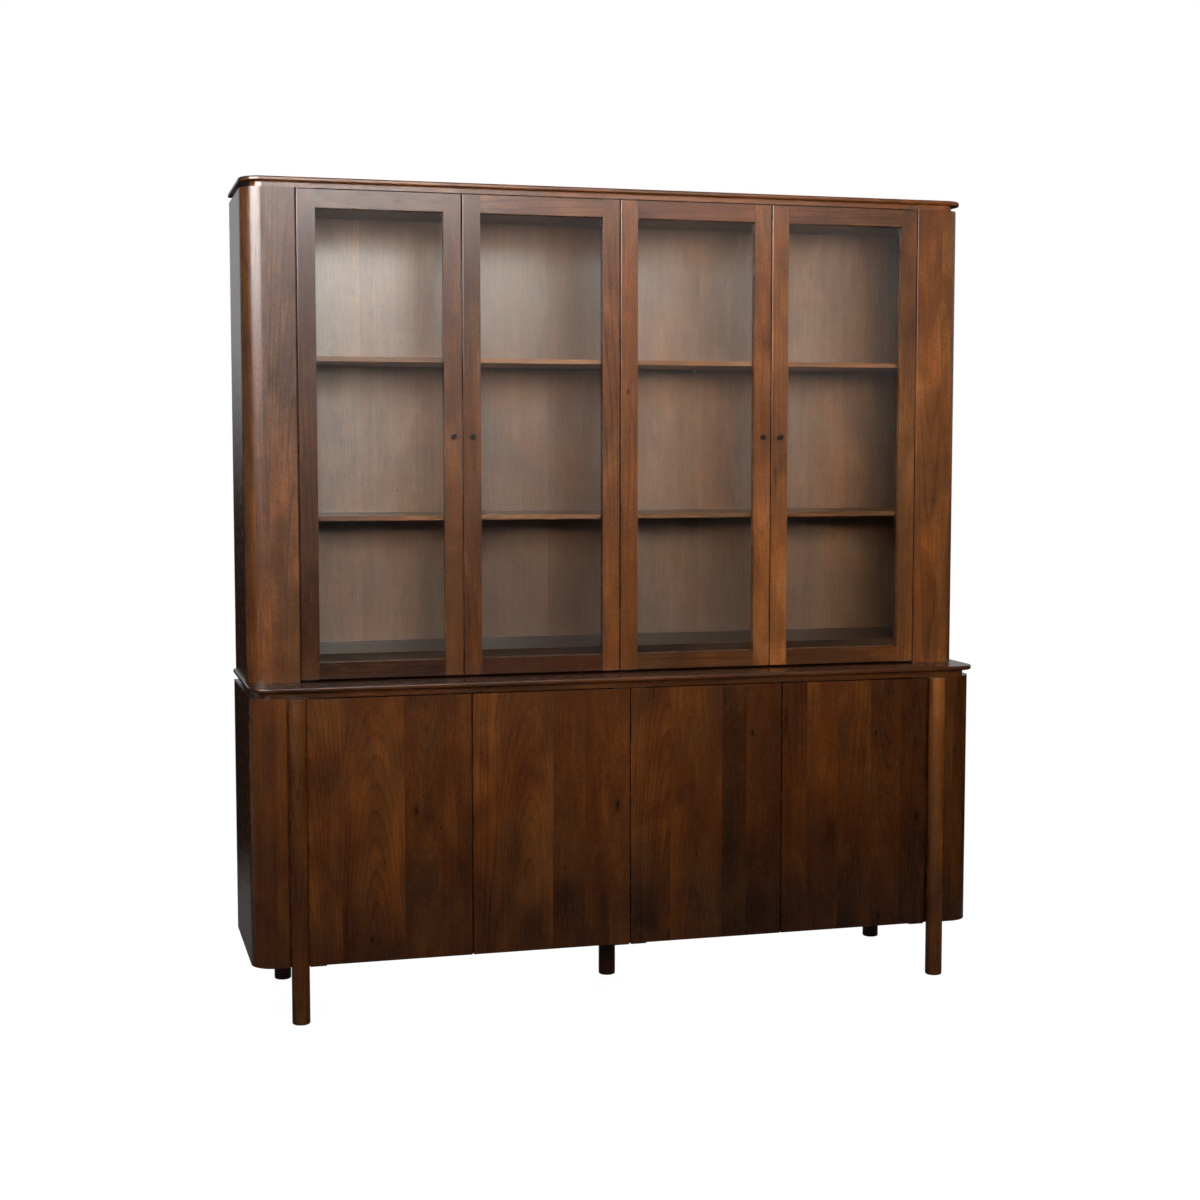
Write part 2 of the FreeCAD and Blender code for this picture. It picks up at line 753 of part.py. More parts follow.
def base_back_screws():
    """Make the screws of the base back panel, along its foot, its sides and the divider."""
    foot_z = (case_bottom_z + bottom_top_z) / 2
    rebate_x = base_inner_x + size.back_rebate / 2
    low_z = bottom_top_z + size.panel_screw_end_inset
    high_z = base_top_z - size.panel_screw_end_inset
    reach_x = base_inner_x - size.panel_screw_side_inset
    points = [(reach_x * (count / SCREW_STEPS), foot_z) for count in BASE_FOOT_SCREWS]
    for x in (-rebate_x, as_length(0), rebate_x):
        points += [(x, low_z), (x, (low_z + high_z) / 2), (x, high_z)]
    length = size.base_back_thick + size.panel_screw_grip
    return panel_screws("base_back_screw", points, length)


def hutch_back_screws():
    """Make the screws of the hutch back panel, along its sides, the rear rail and the ceiling."""
    rail_z = (hutch_z + hutch_floor_z - size.hutch_floor_thick) / 2
    top_z = ceiling_z + size.ceiling_thick / 2
    rebate_x = hutch_inner_x + size.back_rebate / 2
    low_z = hutch_floor_z + size.panel_screw_end_inset
    high_z = ceiling_z - size.panel_screw_end_inset
    reach_x = hutch_inner_x - size.panel_screw_side_inset
    points = [(reach_x * (count / SCREW_STEPS), z) for count in HUTCH_RAIL_SCREWS for z in (rail_z, top_z)]
    for x in (-rebate_x, rebate_x):
        for count in range(HUTCH_SIDE_STEPS + 1):
            points.append((x, low_z + (high_z - low_z) * (count / HUTCH_SIDE_STEPS)))
    length = size.hutch_back_thick + size.panel_screw_grip
    return panel_screws("hutch_back_screw", points, length)


def panel_screws(name, points, length):
    """Make round-headed screws from behind a back panel."""
    screws = []
    for count, (x, z) in enumerate(points):
        start = (x, panel_rear_y, z)
        part = f"{name}_{count}"
        head = rod(f"{part}_head", start, "+y", size.panel_screw_head_radius, size.panel_screw_head)
        shank = rod(f"{part}_shank", start, "-y", size.panel_screw_radius, length)
        screws.append(fused(part, head, shank))
    return screws


def post_screws(side, sign):
    """Make the screws that run from inside the case through the corner into a front post."""
    low_z = case_bottom_z + size.post_screw_end_inset
    high_z = base_top_z - size.post_screw_end_inset
    length = base_corner_rear_y - post_seat_y + size.post_screw_grip
    head = (size.post_screw_head_radius, size.post_screw_head)
    return [
        screw(
            f"post_screw_{side}_{count}", (post_x * sign, base_corner_rear_y, z), "-y",
            *head, size.post_screw_radius, length,
        )
        for count, z in enumerate((low_z, (low_z + high_z) / 2, high_z))
    ]


def leg_stud(name, x, y):
    """Make the stud that joins a short leg to the bottom panel."""
    start = (x, y, case_bottom_z - size.stud_in_leg)
    return rod(name, start, "+z", size.stud_radius, size.stud_in_leg + size.stud_in_case)


def tie_bolt(name, x, y):
    """Make a bolt that ties the hutch down from inside the base."""
    start = (x, y, base_top_z)
    head = rod(f"{name}_head", start, "-z", size.bolt_head_radius, size.bolt_head)
    reach = hutch_z - base_top_z + size.bolt_grip
    return fused(name, head, rod(f"{name}_shank", start, "+z", size.bolt_radius, reach))


def side_pin(name, inner_x, sign, y, z):
    """Make a shelf pin that stands out of an upright face towards the middle of a bay."""
    low = inner_x * sign - size.shelf_pin_reach
    return rod(name, (low, y, z), "+x", size.shelf_pin_radius, size.shelf_pin_reach * 2)


def spare_holes(name, inner_x, sign, y, z):
    """Make the cutters for the spare pin holes above and below a pin."""
    depth = size.shelf_pin_hole_depth
    low = inner_x * sign if sign > 0 else inner_x * sign - depth
    cutters = []
    for count in SHELF_PIN_ROWS:
        start = (low, y, z + size.shelf_pin_pitch * count)
        cutters.append(rod(f"{name}_hole_{count}", start, "+x", size.shelf_pin_radius, depth))
    return cutters


leg_places = {
    "rear_leg_left": (-post_x, rear_y - size.rear_leg_inset),
    "rear_leg_right": (post_x, rear_y - size.rear_leg_inset),
    "centre_leg": (as_length(0), base_face_y + size.centre_leg_setback),
}
leg_studs = {name: leg_stud(f"{name}_stud", *point) for name, point in leg_places.items()}
front_bolt_y = hutch_face_y + size.front_bolt_setback
rear_bolt_y = hutch_back_y - size.rear_rail_thick / 2
front_bolt_x = hutch_half - size.front_bolt_inset
front_bolts = {
    side: tie_bolt(f"front_bolt_{side}", front_bolt_x * sign, front_bolt_y)
    for side, sign in SIDES.items()
}
rear_bolts = [
    tie_bolt(f"rear_bolt_{side}", size.rear_bolt_x * sign, rear_bolt_y)
    for side, sign in SIDES.items()
]
tie_bolts = [*front_bolts.values(), *rear_bolts]
post_screw_sets = {side: post_screws(side, sign) for side, sign in SIDES.items()}
base_panel_screws = base_back_screws()
hutch_panel_screws = hutch_back_screws()


# Base case

def top_board(name, half, face_y, overhang_side, overhang_front, bottom_z, tools):
    """Make a thin top board with rounded front corners and eased edges."""
    half_board = half + overhang_side
    edge_y = face_y - overhang_front
    top_z = bottom_z + size.board_thick
    body = body_of(name, (-half_board, half_board), (edge_y, rear_y), (bottom_z, top_z))
    for x in (-half_board, half_board):
        round_edges(body, upright_at(x, edge_y), size.corner_radius)
    round_edges(body, level_at((bottom_z, top_z), rear_y), size.board_ease)
    keep(name, cut(f"{name}_cut", body, tools) if tools else body)


def sub_top(name, half, face_y, bottom_z, top_z, tools):
    """Make the inset panel under a top board."""
    half_panel = half - size.sub_top_side_inset
    edge_y = face_y + size.sub_top_front_inset
    body = body_of(name, (-half_panel, half_panel), (edge_y, rear_y), (bottom_z, top_z))
    for x in (-half_panel, half_panel):
        round_edges(body, upright_at(x, edge_y), size.corner_radius - size.sub_top_side_inset)
    keep(name, cut(f"{name}_cut", body, tools))


def side_panel(name, sign, half, inner_x, front_edge_y, zs, back_y, tools):
    """Make a side panel with a rebate for the back panel."""
    body = body_of(name, mirrored_span(sign, inner_x, half), (front_edge_y, rear_y), zs)
    rebate = mirrored_span(sign, inner_x, inner_x + size.back_rebate)
    remove_block(body, rebate, (back_y, rear_y), zs)
    keep(name, cut(f"{name}_cut", body, tools))


def base_corner(side, sign):
    """Make a solid rounded corner that backs the front post and stops the outer door."""
    name = f"base_corner_{side}"
    outline = [
        (corner_face_x, base_face_y),
        (base_half, base_face_y),
        (base_half, base_corner_rear_y),
        (stop_x, base_corner_rear_y),
        (stop_x, base_case_y),
        (post_seat_x, base_case_y),
        (post_seat_x, post_seat_y),
        (corner_face_x, post_seat_y),
    ]
    body = prism(name, [(x * sign, y) for x, y in outline], case_bottom_z, base_top_z)
    round_edges(body, upright_at(base_half * sign, base_face_y), size.corner_radius)
    round_edges(body, upright_at(corner_face_x * sign, base_face_y), size.door_ease)
    groove_start = (post_x * sign, post_y, case_bottom_z)
    groove = rod(f"{name}_groove", groove_start, "+z", size.post_radius, size.base_case_height)
    keep(name, cut(f"{name}_cut", body, [groove, *post_screw_sets[side]]))


def round_leg(name, x, y, top_z, top_ease, tools):
    """Make a round post or leg with an eased foot."""
    body = document.addObject("PartDesign::Body", f"{name}_body")
    cylinder = body.newObject("PartDesign::AdditiveCylinder", f"{name}_round")
    bind(cylinder, "Radius", size.post_radius)
    bind(cylinder, "Height", top_z)
    place(cylinder, (x, y, 0))
    round_edges(body, level_at([as_length(0)], rear_y), size.post_foot_ease)
    if top_ease:
        round_edges(body, level_at([top_z], rear_y), size.post_top_ease)
    keep(name, cut(f"{name}_cut", body, tools))


def base_shelf_pins(side, sign):
    """Make the pins of one base shelf and the cutters for the spare holes beside them."""
    z = base_shelf_z - size.base_shelf_thick - size.shelf_pin_radius
    ys = (base_shelf_front_y + size.shelf_pin_end_inset, base_back_y - size.shelf_pin_end_inset)
    faces = {"outer": (base_inner_x, sign), "inner": (size.divider_thick / 2, sign)}
    pins = {face: [] for face in faces}
    holes = {face: [] for face in faces}
    for face, (inner_x, face_sign) in faces.items():
        for count, y in enumerate(ys):
            part = f"base_shelf_pin_{side}_{face}_{count}"
            pins[face].append(side_pin(part, inner_x, face_sign, y, z))
            into = face_sign if face == "outer" else -face_sign
            start_x = inner_x if face == "outer" else -inner_x
            holes[face] += spare_holes(part, start_x, into, y, z)
    return pins, holes


base_pins = {side: base_shelf_pins(side, sign) for side, sign in SIDES.items()}


def base_inner_panels():
    """Make the bottom panel, back panel, divider and shelves of the base."""
    outline = [
        (-base_inner_x, base_back_y),
        (-base_inner_x, base_corner_rear_y),
        (-stop_x, base_corner_rear_y),
        (-stop_x, base_case_y),
        (stop_x, base_case_y),
        (stop_x, base_corner_rear_y),
        (base_inner_x, base_corner_rear_y),
        (base_inner_x, base_back_y),
    ]
    foot_screws = [one for door in base_doors for one in pivots[door.name].screws["foot"]]
    bottom = prism("base_bottom_panel", outline, case_bottom_z, bottom_top_z)
    bottom_tools = [*leg_studs.values(), *foot_screws, *base_panel_screws]
    keep("base_bottom_panel", cut("base_bottom_panel_cut", bottom, bottom_tools))
    back_x = base_inner_x + size.back_rebate
    back_spans = ((-back_x, back_x), (base_back_y, panel_rear_y), (case_bottom_z, base_top_z))
    back = block("base_back_blank", *back_spans)
    keep("base_back_panel", cut("base_back_panel_cut", back, base_panel_screws))
    half_divider = size.divider_thick / 2
    divider_spans = ((-half_divider, half_divider), (base_case_y, base_back_y), (bottom_top_z, base_top_z))
    divider_tools = list(base_panel_screws)
    for pins, holes in base_pins.values():
        divider_tools += [*pins["inner"], *holes["inner"]]
    divider = block("base_divider_blank", *divider_spans)
    keep("base_centre_divider", cut("base_centre_divider_cut", divider, divider_tools))
    for side, sign in SIDES.items():
        xs = mirrored_span(sign, half_divider + size.shelf_gap, base_inner_x - size.shelf_gap)
        ys = (base_shelf_front_y, base_back_y - size.shelf_gap)
        name = f"base_shelf_{side}"
        keep(name, block(name, xs, ys, (base_shelf_z - size.base_shelf_thick, base_shelf_z)))


def build_base():
    """Make the base case, its posts and its legs."""
    head_screws = [one for door in base_doors for one in pivots[door.name].screws["head"]]
    latch_screws = [latch.screw for latch in latches.values()]
    sub_top_tools = [*head_screws, *latch_screws, *tie_bolts]
    sub_top("base_sub_top", base_half, base_face_y, base_top_z, base_sub_top_z, sub_top_tools)
    overhangs = (size.base_board_side, size.base_board_front)
    top_board("base_top_board", base_half, base_face_y, *overhangs, base_sub_top_z, tie_bolts)
    base_inner_panels()
    for side, sign in SIDES.items():
        pins, holes = base_pins[side]
        side_tools = [*base_panel_screws, *pins["outer"], *holes["outer"]]
        side_panel(
            f"base_side_{side}", sign, base_half, base_inner_x, base_corner_rear_y,
            (case_bottom_z, base_top_z), base_back_y, side_tools,
        )
        base_corner(side, sign)
        round_leg(f"front_post_{side}", post_x * sign, post_y, base_top_z, True, post_screw_sets[side])
    for name, (x, y) in leg_places.items():
        round_leg(name, x, y, case_bottom_z, False, [leg_studs[name]])


# Hutch case

class HutchShelf:
    """A full-width shelf, notched round the corners and the centre post, and its pins."""

    def __init__(self, name, height):
        self.name = name
        self.top_z = hutch_floor_z + height
        self.bottom_z = self.top_z - size.hutch_shelf_thick
        pin_z = self.bottom_z - size.shelf_pin_radius
        front_pin_y = hutch_corner_rear_y + size.shelf_pin_end_inset
        rear_pin_y = hutch_back_y - size.shelf_pin_end_inset
        post_half = size.centre_post_width / 2
        post_pin_y = hutch_case_y + size.centre_post_depth / 2
        self.side_pins = {}
        self.side_holes = {}
        self.post_pins = []
        self.back_pins = []
        for side, sign in SIDES.items():
            part = f"{name}_pin_{side}"
            pin_ys = (front_pin_y, rear_pin_y)
            self.side_pins[side] = [
                side_pin(f"{part}_{count}", hutch_inner_x, sign, y, pin_z) for count, y in enumerate(pin_ys)
            ]
            self.side_holes[side] = [
                hole for count, y in enumerate(pin_ys)
                for hole in spare_holes(f"{part}_{count}", hutch_inner_x, sign, y, pin_z)
            ]
            self.post_pins.append(side_pin(f"{part}_post", post_half, sign, post_pin_y, pin_z))
            back_start = (size.back_pin_x * sign, hutch_back_y - size.shelf_pin_reach, pin_z)
            pin_length = size.shelf_pin_reach * 2
            self.back_pins.append(rod(f"{part}_back", back_start, "+y", size.shelf_pin_radius, pin_length))

    def build(self):
        """Make the shelf."""
        outer_x = hutch_inner_x - size.shelf_gap
        corner_x = stop_x - size.shelf_notch_gap
        corner_y = hutch_corner_rear_y + size.shelf_notch_gap
        notch_x = size.centre_post_width / 2 + size.shelf_notch_gap
        notch_rear_y = hutch_case_y + size.centre_post_depth + size.shelf_notch_gap
        half_outline = [
            (notch_x, notch_rear_y),
            (notch_x, hutch_shelf_front_y),
            (corner_x, hutch_shelf_front_y),
            (corner_x, corner_y),
            (outer_x, corner_y),
            (outer_x, hutch_back_y - size.shelf_gap),
        ]
        outline = [(-x, y) for x, y in reversed(half_outline)] + half_outline
        keep(self.name, prism(self.name, outline, self.bottom_z, self.top_z))

    def pins(self):
        """List every pin of the shelf."""
        return [*self.side_pins["left"], *self.side_pins["right"], *self.post_pins, *self.back_pins]


hutch_shelves = [
    HutchShelf("hutch_shelf_lower", size.lower_shelf_height),
    HutchShelf("hutch_shelf_upper", size.upper_shelf_height),
]


def hutch_corner(side, sign):
    """Make a solid rounded corner that stops the outer door, cleared for its foot plate."""
    name = f"hutch_corner_{side}"
    outline = [
        (hutch_corner_x, hutch_face_y),
        (hutch_half, hutch_face_y),
        (hutch_half, hutch_corner_rear_y),
        (stop_x, hutch_corner_rear_y),
        (stop_x, hutch_case_y),
        (hutch_corner_x, hutch_case_y),
    ]
    body = prism(name, [(x * sign, y) for x, y in outline], hutch_z, hutch_top_z)
    round_edges(body, upright_at(hutch_half * sign, hutch_face_y), size.corner_radius)
    round_edges(body, upright_at(hutch_corner_x * sign, hutch_face_y), size.door_ease)
    plate_rear_y = hutch_face_y + size.plate_front + size.foot_plate_depth
    notch_x = mirrored_span(sign, stop_x, hutch_corner_x)
    notch_y = (hutch_case_y, plate_rear_y + size.door_back_gap)
    remove_block(body, notch_x, notch_y, (hutch_z, hutch_rail_z))
    keep(name, cut(f"{name}_cut", body, [front_bolts[side]]))


def hutch_level_panel(name, bottom_z, top_z, tools):
    """Make the floor or the ceiling, notched round the corners."""
    outline = [
        (-hutch_inner_x, hutch_back_y),
        (-hutch_inner_x, hutch_corner_rear_y),
        (-stop_x, hutch_corner_rear_y),
        (-stop_x, hutch_case_y),
        (stop_x, hutch_case_y),
        (stop_x, hutch_corner_rear_y),
        (hutch_inner_x, hutch_corner_rear_y),
        (hutch_inner_x, hutch_back_y),
    ]
    body = prism(name, outline, bottom_z, top_z)
    keep(name, cut(f"{name}_cut", body, tools) if tools else body)


def hutch_inner_frame():
    """Make the rails under the floor and over the ceiling, and the post between the middle doors."""
    floor_bottom_z = hutch_floor_z - size.hutch_floor_thick
    front_ys = (hutch_case_y, hutch_case_y + size.front_rail_thick)
    foot_screws = [one for door in hutch_doors for one in pivots[door.name].screws["foot"]]
    front_rail = block("front_rail_blank", (-stop_x, stop_x), front_ys, (hutch_rail_z, floor_bottom_z))
    rear_ys = (hutch_back_y - size.rear_rail_thick, hutch_back_y)
    rear_rail = block("rear_rail_blank", (-hutch_inner_x, hutch_inner_x), rear_ys, (hutch_z, floor_bottom_z))
    top_ys = (hutch_case_y, hutch_case_y + size.top_rail_thick)
    top_rail = block("top_rail", (-stop_x, stop_x), top_ys, (ceiling_z + size.ceiling_thick, hutch_top_z))
    half_post = size.centre_post_width / 2
    post_ys = (hutch_case_y, hutch_case_y + size.centre_post_depth)
    post = block("centre_post_blank", (-half_post, half_post), post_ys, (hutch_floor_z, ceiling_z))
    post_pins = [pin for shelf in hutch_shelves for pin in shelf.post_pins]
    pieces = [
        cut("front_rail", front_rail, foot_screws),
        cut("rear_rail", rear_rail, [*rear_bolts, *hutch_panel_screws]),
        top_rail,
        cut("centre_post", post, post_pins),
    ]
    keep("hutch_inner_frame", group("hutch_inner_frame", pieces))


def build_hutch():
    """Make the hutch case."""
    head_screws = [one for door in hutch_doors for one in pivots[door.name].screws["head"]]
    catch_screws = [catch.screw for catch in catches.values()]
    sub_top("hutch_sub_top", hutch_half, hutch_face_y, hutch_top_z, hutch_sub_top_z, head_screws)
    overhangs = (size.hutch_board_side, size.hutch_board_front)
    top_board("hutch_top_board", hutch_half, hutch_face_y, *overhangs, hutch_sub_top_z, [])
    hutch_level_panel("hutch_floor", hutch_floor_z - size.hutch_floor_thick, hutch_floor_z, [])
    ceiling_tools = [*catch_screws, *hutch_panel_screws]
    hutch_level_panel("hutch_ceiling", ceiling_z, ceiling_z + size.ceiling_thick, ceiling_tools)
    hutch_inner_frame()
    back_x = hutch_inner_x + size.back_rebate
    back = block("hutch_back_blank", (-back_x, back_x), (hutch_back_y, panel_rear_y), (hutch_z, hutch_top_z))
    back_pins = [pin for shelf in hutch_shelves for pin in shelf.back_pins]
    keep("hutch_back_panel", cut("hutch_back_panel_cut", back, [*hutch_panel_screws, *back_pins]))
    for side, sign in SIDES.items():
        side_tools = list(hutch_panel_screws)
        for shelf in hutch_shelves:
            side_tools += [*shelf.side_pins[side], *shelf.side_holes[side]]
        side_panel(
            f"hutch_side_{side}", sign, hutch_half, hutch_inner_x, hutch_corner_rear_y,
            (hutch_z, hutch_top_z), hutch_back_y, side_tools,
        )
        hutch_corner(side, sign)
    for shelf in hutch_shelves:
        shelf.build()


# Hardware that stays on the cases

def build_case_hardware():
    """Make the pivot plates and pins, the catches, the shelf pins and the fasteners."""
    pivot_pieces = []
    fasteners = [*leg_studs.values(), *tie_bolts, *base_panel_screws, *hutch_panel_screws]
    for pivot in pivots.values():
        pivot_pieces += [*pivot.case_plates, *pivot.pins.values()]
        fasteners += [*pivot.screws["head"], *pivot.screws["foot"]]
    for screws in post_screw_sets.values():
        fasteners += screws
    housings = []
    for door in base_doors:
        latch = latches[door.name]
        x, z = latch.centre
        bore_radius = size.plunger_radius + size.plunger_clearance
        bore_start = (x, latch_front_y, z)
        bore = rod(f"{door.name}_latch_bore", bore_start, "+y", bore_radius, size.plunger_bore_depth)
        housings.append(cut(f"{door.name}_latch", latch.blank, [bore, latch.screw]))
        fasteners.append(latch.screw)
    for door in hutch_doors:
        catch = catches[door.name]
        housings.append(cut(f"{door.name}_catch", catch.blank, [catch.screw]))
        fasteners.append(catch.screw)
    shelf_pins = [pin for pins, holes in base_pins.values() for face in pins.values() for pin in face]
    shelf_pins += [pin for shelf in hutch_shelves for pin in shelf.pins()]
    keep("door_pivots", group("door_pivots", pivot_pieces))
    keep("door_catches", group("door_catches", housings))
    keep("shelf_pins", group("shelf_pins", shelf_pins))
    keep("case_fasteners", group("case_fasteners", fasteners))


def check_and_export():
    """Check every object and write one file per sub-part."""
    document.recompute()
    for thing in document.Objects:
        if {"Invalid", "Error"} & set(thing.State):
            raise RuntimeError(f"{thing.Label} failed: {thing.State}")
    os.makedirs("parts", exist_ok=True)
    for name, thing in nodes.items():
        if thing.Shape.isNull() or not thing.Shape.isValid():
            raise RuntimeError(f"{name} has no valid shape")
        thing.Shape.exportStep(f"parts/{name}.step")


build_base()
build_hutch()
for base_door in base_doors:
    build_base_door(base_door)
    build_plunger(base_door)
for hutch_door in hutch_doors:
    GlazedFrame(hutch_door).build()
build_case_hardware()
check_and_export()
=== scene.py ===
"""Finishes, fittings and set for a dresser with hutch.

Stained boards, glazed doors and their hardware come first, then the floor, the light and the
camera.
"""

import logging
import math
import random
from dataclasses import dataclass, field, replace
from enum import Enum

import bpy
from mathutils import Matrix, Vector


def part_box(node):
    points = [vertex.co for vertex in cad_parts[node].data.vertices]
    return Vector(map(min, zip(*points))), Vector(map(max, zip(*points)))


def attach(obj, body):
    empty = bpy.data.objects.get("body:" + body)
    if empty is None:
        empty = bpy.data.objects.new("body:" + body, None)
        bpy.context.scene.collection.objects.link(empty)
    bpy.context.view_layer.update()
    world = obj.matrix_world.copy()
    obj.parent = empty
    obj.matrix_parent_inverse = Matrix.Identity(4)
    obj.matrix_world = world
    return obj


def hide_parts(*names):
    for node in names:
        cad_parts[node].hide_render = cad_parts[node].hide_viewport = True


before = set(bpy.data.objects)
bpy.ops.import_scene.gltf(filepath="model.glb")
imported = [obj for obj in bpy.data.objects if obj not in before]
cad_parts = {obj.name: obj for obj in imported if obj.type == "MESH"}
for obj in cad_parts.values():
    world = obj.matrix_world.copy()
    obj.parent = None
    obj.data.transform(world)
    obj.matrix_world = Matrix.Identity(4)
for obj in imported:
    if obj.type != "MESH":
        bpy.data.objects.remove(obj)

LOG = logging.getLogger("dresser")
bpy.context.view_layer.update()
MM = 0.001
MICRONS = 1e6  # in a metre
MICRON = 1e-6
TOUCH = MICRON  # a corner nearer than this to a plane lies on it
HAIR = 1e-5  # widths that differ by less are equal, in metres
HAIRS = 1e5  # in a metre

Colour = tuple[float, float, float]
Point = tuple[float, float, float]
Corner = tuple[Point, Point]
Socket = bpy.types.NodeSocket
Feed = Socket | float | int | str | tuple | bpy.types.Material


# ---------------------------------------------------------------- helpers


def shade(red: int, green: int, blue: int) -> Colour:
    """Turn a colour chip, 0 to 255 a channel, into scene-linear numbers.

    Args:
        red: Red of the chip.
        green: Green of the chip.
        blue: Blue of the chip.

    Returns:
        The three linear channels.
    """
    chips = (red / 255, green / 255, blue / 255)
    return tuple(c / 12.92 if c <= 0.04045 else ((c + 0.055) / 1.055) ** 2.4 for c in chips)


def merge_key(point: Point | Vector) -> tuple[int, ...]:
    """Return a point in whole micrometres, by which corners in one place are merged."""
    return tuple(round(part * MICRONS) for part in point)


def new_mesh(name: str, points: list[Point], faces: list) -> bpy.types.Mesh:
    """Make a mesh.

    Args:
        name: The mesh's name.
        points: Its points, in metres.
        faces: The numbers of each face's points.

    Returns:
        The mesh.
    """
    mesh = bpy.data.meshes.new(name)
    mesh.from_pydata(points, [], faces)
    return mesh


def put_in_scene(name: str, data: bpy.types.ID) -> bpy.types.Object:
    """Make an object of a mesh, a lamp or a camera and link it to the scene.

    Args:
        name: The object's name.
        data: What it shows.

    Returns:
        The object.
    """
    obj = bpy.data.objects.new(name, data)
    bpy.context.scene.collection.objects.link(obj)
    return obj


@dataclass(frozen=True)
class Pattern:
    """A cloudy pattern: cycles a metre along each axis, finer layers, their share, and warp."""

    scale: Point
    detail: float = 2.0
    roughness: float = 0.5
    warp: float = 0.0


class NodeBench:
    """Lays nodes out in a tree and wires them together."""

    def __init__(self, tree: bpy.types.NodeTree) -> None:
        """Start on a cleared tree.

        Args:
            tree: The node tree to fill.
        """
        self.tree = tree
        tree.nodes.clear()

    def add(self, kind: str, *feeds: Feed, **settings: object) -> bpy.types.Node:
        """Add a node, set its properties and feed its first inputs.

        Args:
            kind: The node's type name.
            *feeds: What goes into its inputs, in their order.
            **settings: Properties of the node.

        Returns:
            The new node.
        """
        node = self.tree.nodes.new(kind)
        for name, value in settings.items():
            setattr(node, name, value)
        for socket, feed in zip(node.inputs, feeds):
            self.feed(socket, feed)
        return node

    def add_named(self, kind: str, feeds: dict[str, Feed], **settings: object) -> bpy.types.Node:
        """Add a node, set its properties and feed its inputs by name.

        Args:
            kind: The node's type name.
            feeds: What goes into each named input.
            **settings: Properties of the node.

        Returns:
            The new node.
        """
        node = self.add(kind, **settings)
        for name, value in feeds.items():
            self.feed(node.inputs[name], value)
        return node

    def feed(self, socket: Socket, value: Feed) -> None:
        """Wire a socket into an input, or set the input's own number or colour.

        Args:
            socket: The input to feed.
            value: A socket to link, or a plain value.
        """
        if isinstance(value, bpy.types.NodeSocket):
            self.tree.links.new(value, socket)
        elif isinstance(value, tuple) and socket.type == "RGBA":
            socket.default_value = (*value[:3], 1.0)
        else:
            socket.default_value = value

    def maths(self, operation: str, first: Feed, second: Feed = 0.0, third: Feed = 0.0) -> Socket:
        """Return the result of a Math node.

        Args:
            operation: The node's operation.
            first: First input.
            second: Second input.
            third: Third input, for operations that have one.

        Returns:
            The node's output.
        """
        return self.add("ShaderNodeMath", first, second, third, operation=operation).outputs[0]

    def plus(self, first: Feed, second: Feed) -> Socket:
        """Return the sum of two values."""
        return self.maths("ADD", first, second)

    def minus(self, first: Feed, second: Feed) -> Socket:
        """Return the first value less the second."""
        return self.maths("SUBTRACT", first, second)

    def times(self, first: Feed, second: Feed) -> Socket:
        """Return the product of two values."""
        return self.maths("MULTIPLY", first, second)

    def blend_in(self, total: Feed, part: Feed, weight: float) -> Socket:
        """Return total plus a part, weighted about the part's middle of 0.5.

        Args:
            total: What has been gathered so far.
            part: A pattern from 0 to 1.
            weight: How much the pattern counts.

        Returns:
            The new total.
        """
        return self.maths("MULTIPLY_ADD", self.minus(part, 0.5), weight, total)

    def ease(
        self, value: Feed, start: float, end: float, low: float = 0.0, high: float = 1.0
    ) -> Socket:
        """Map a value smoothly from one range to another, and hold it at the ends.

        Args:
            value: The input.
            start: Input that gives the low result.
            end: Input that gives the high result.
            low: Result at the start.
            high: Result at the end.

        Returns:
            The eased value.
        """
        ends = {"Value": value, "From Min": start, "From Max": end, "To Min": low, "To Max": high}
        node = self.add_named("ShaderNodeMapRange", ends, interpolation_type="SMOOTHSTEP")
        return node.outputs["Result"]

    def split(self, vector: Socket) -> tuple[Socket, Socket, Socket]:
        """Return a vector's three parts."""
        return tuple(self.add("ShaderNodeSeparateXYZ", vector).outputs[:3])

    def join(self, first: Feed, second: Feed, third: Feed) -> Socket:
        """Return a vector made of three parts."""
        return self.add("ShaderNodeCombineXYZ", first, second, third).outputs[0]

    def vector_maths(self, operation: str, first: Feed, second: Feed) -> Socket:
        """Return the result of a Vector Math node on two vectors."""
        return self.add("ShaderNodeVectorMath", first, second, operation=operation).outputs[0]

    def dimmed(self, colour: Feed, factor: Feed) -> Socket:
        """Return a colour times a number."""
        feeds = {"Vector": colour, "Scale": factor}
        return self.add_named("ShaderNodeVectorMath", feeds, operation="SCALE").outputs[0]

    def darkened(self, colour: Feed, mask: Feed, share: float) -> Socket:
        """Return a colour that loses a share of its light where a mask is 1."""
        return self.dimmed(colour, self.minus(1.0, self.times(mask, share)))

    def noise(self, place: Socket, pattern: Pattern) -> bpy.types.Node:
        """Add a 3-D Noise Texture.

        Args:
            place: Where the pattern is read.
            pattern: The pattern.

        Returns:
            The noise node.
        """
        feeds = {
            "Vector": self.vector_maths("MULTIPLY", place, pattern.scale),
            "Scale": 1.0,
            "Detail": pattern.detail,
            "Roughness": pattern.roughness,
            "Distortion": pattern.warp,
        }
        return self.add_named("ShaderNodeTexNoise", feeds, noise_dimensions="3D")

    def cloudy(self, place: Socket, pattern: Pattern) -> Socket:
        """Return a pattern's value, from about 0 to 1."""
        return self.noise(place, pattern).outputs["Fac"]

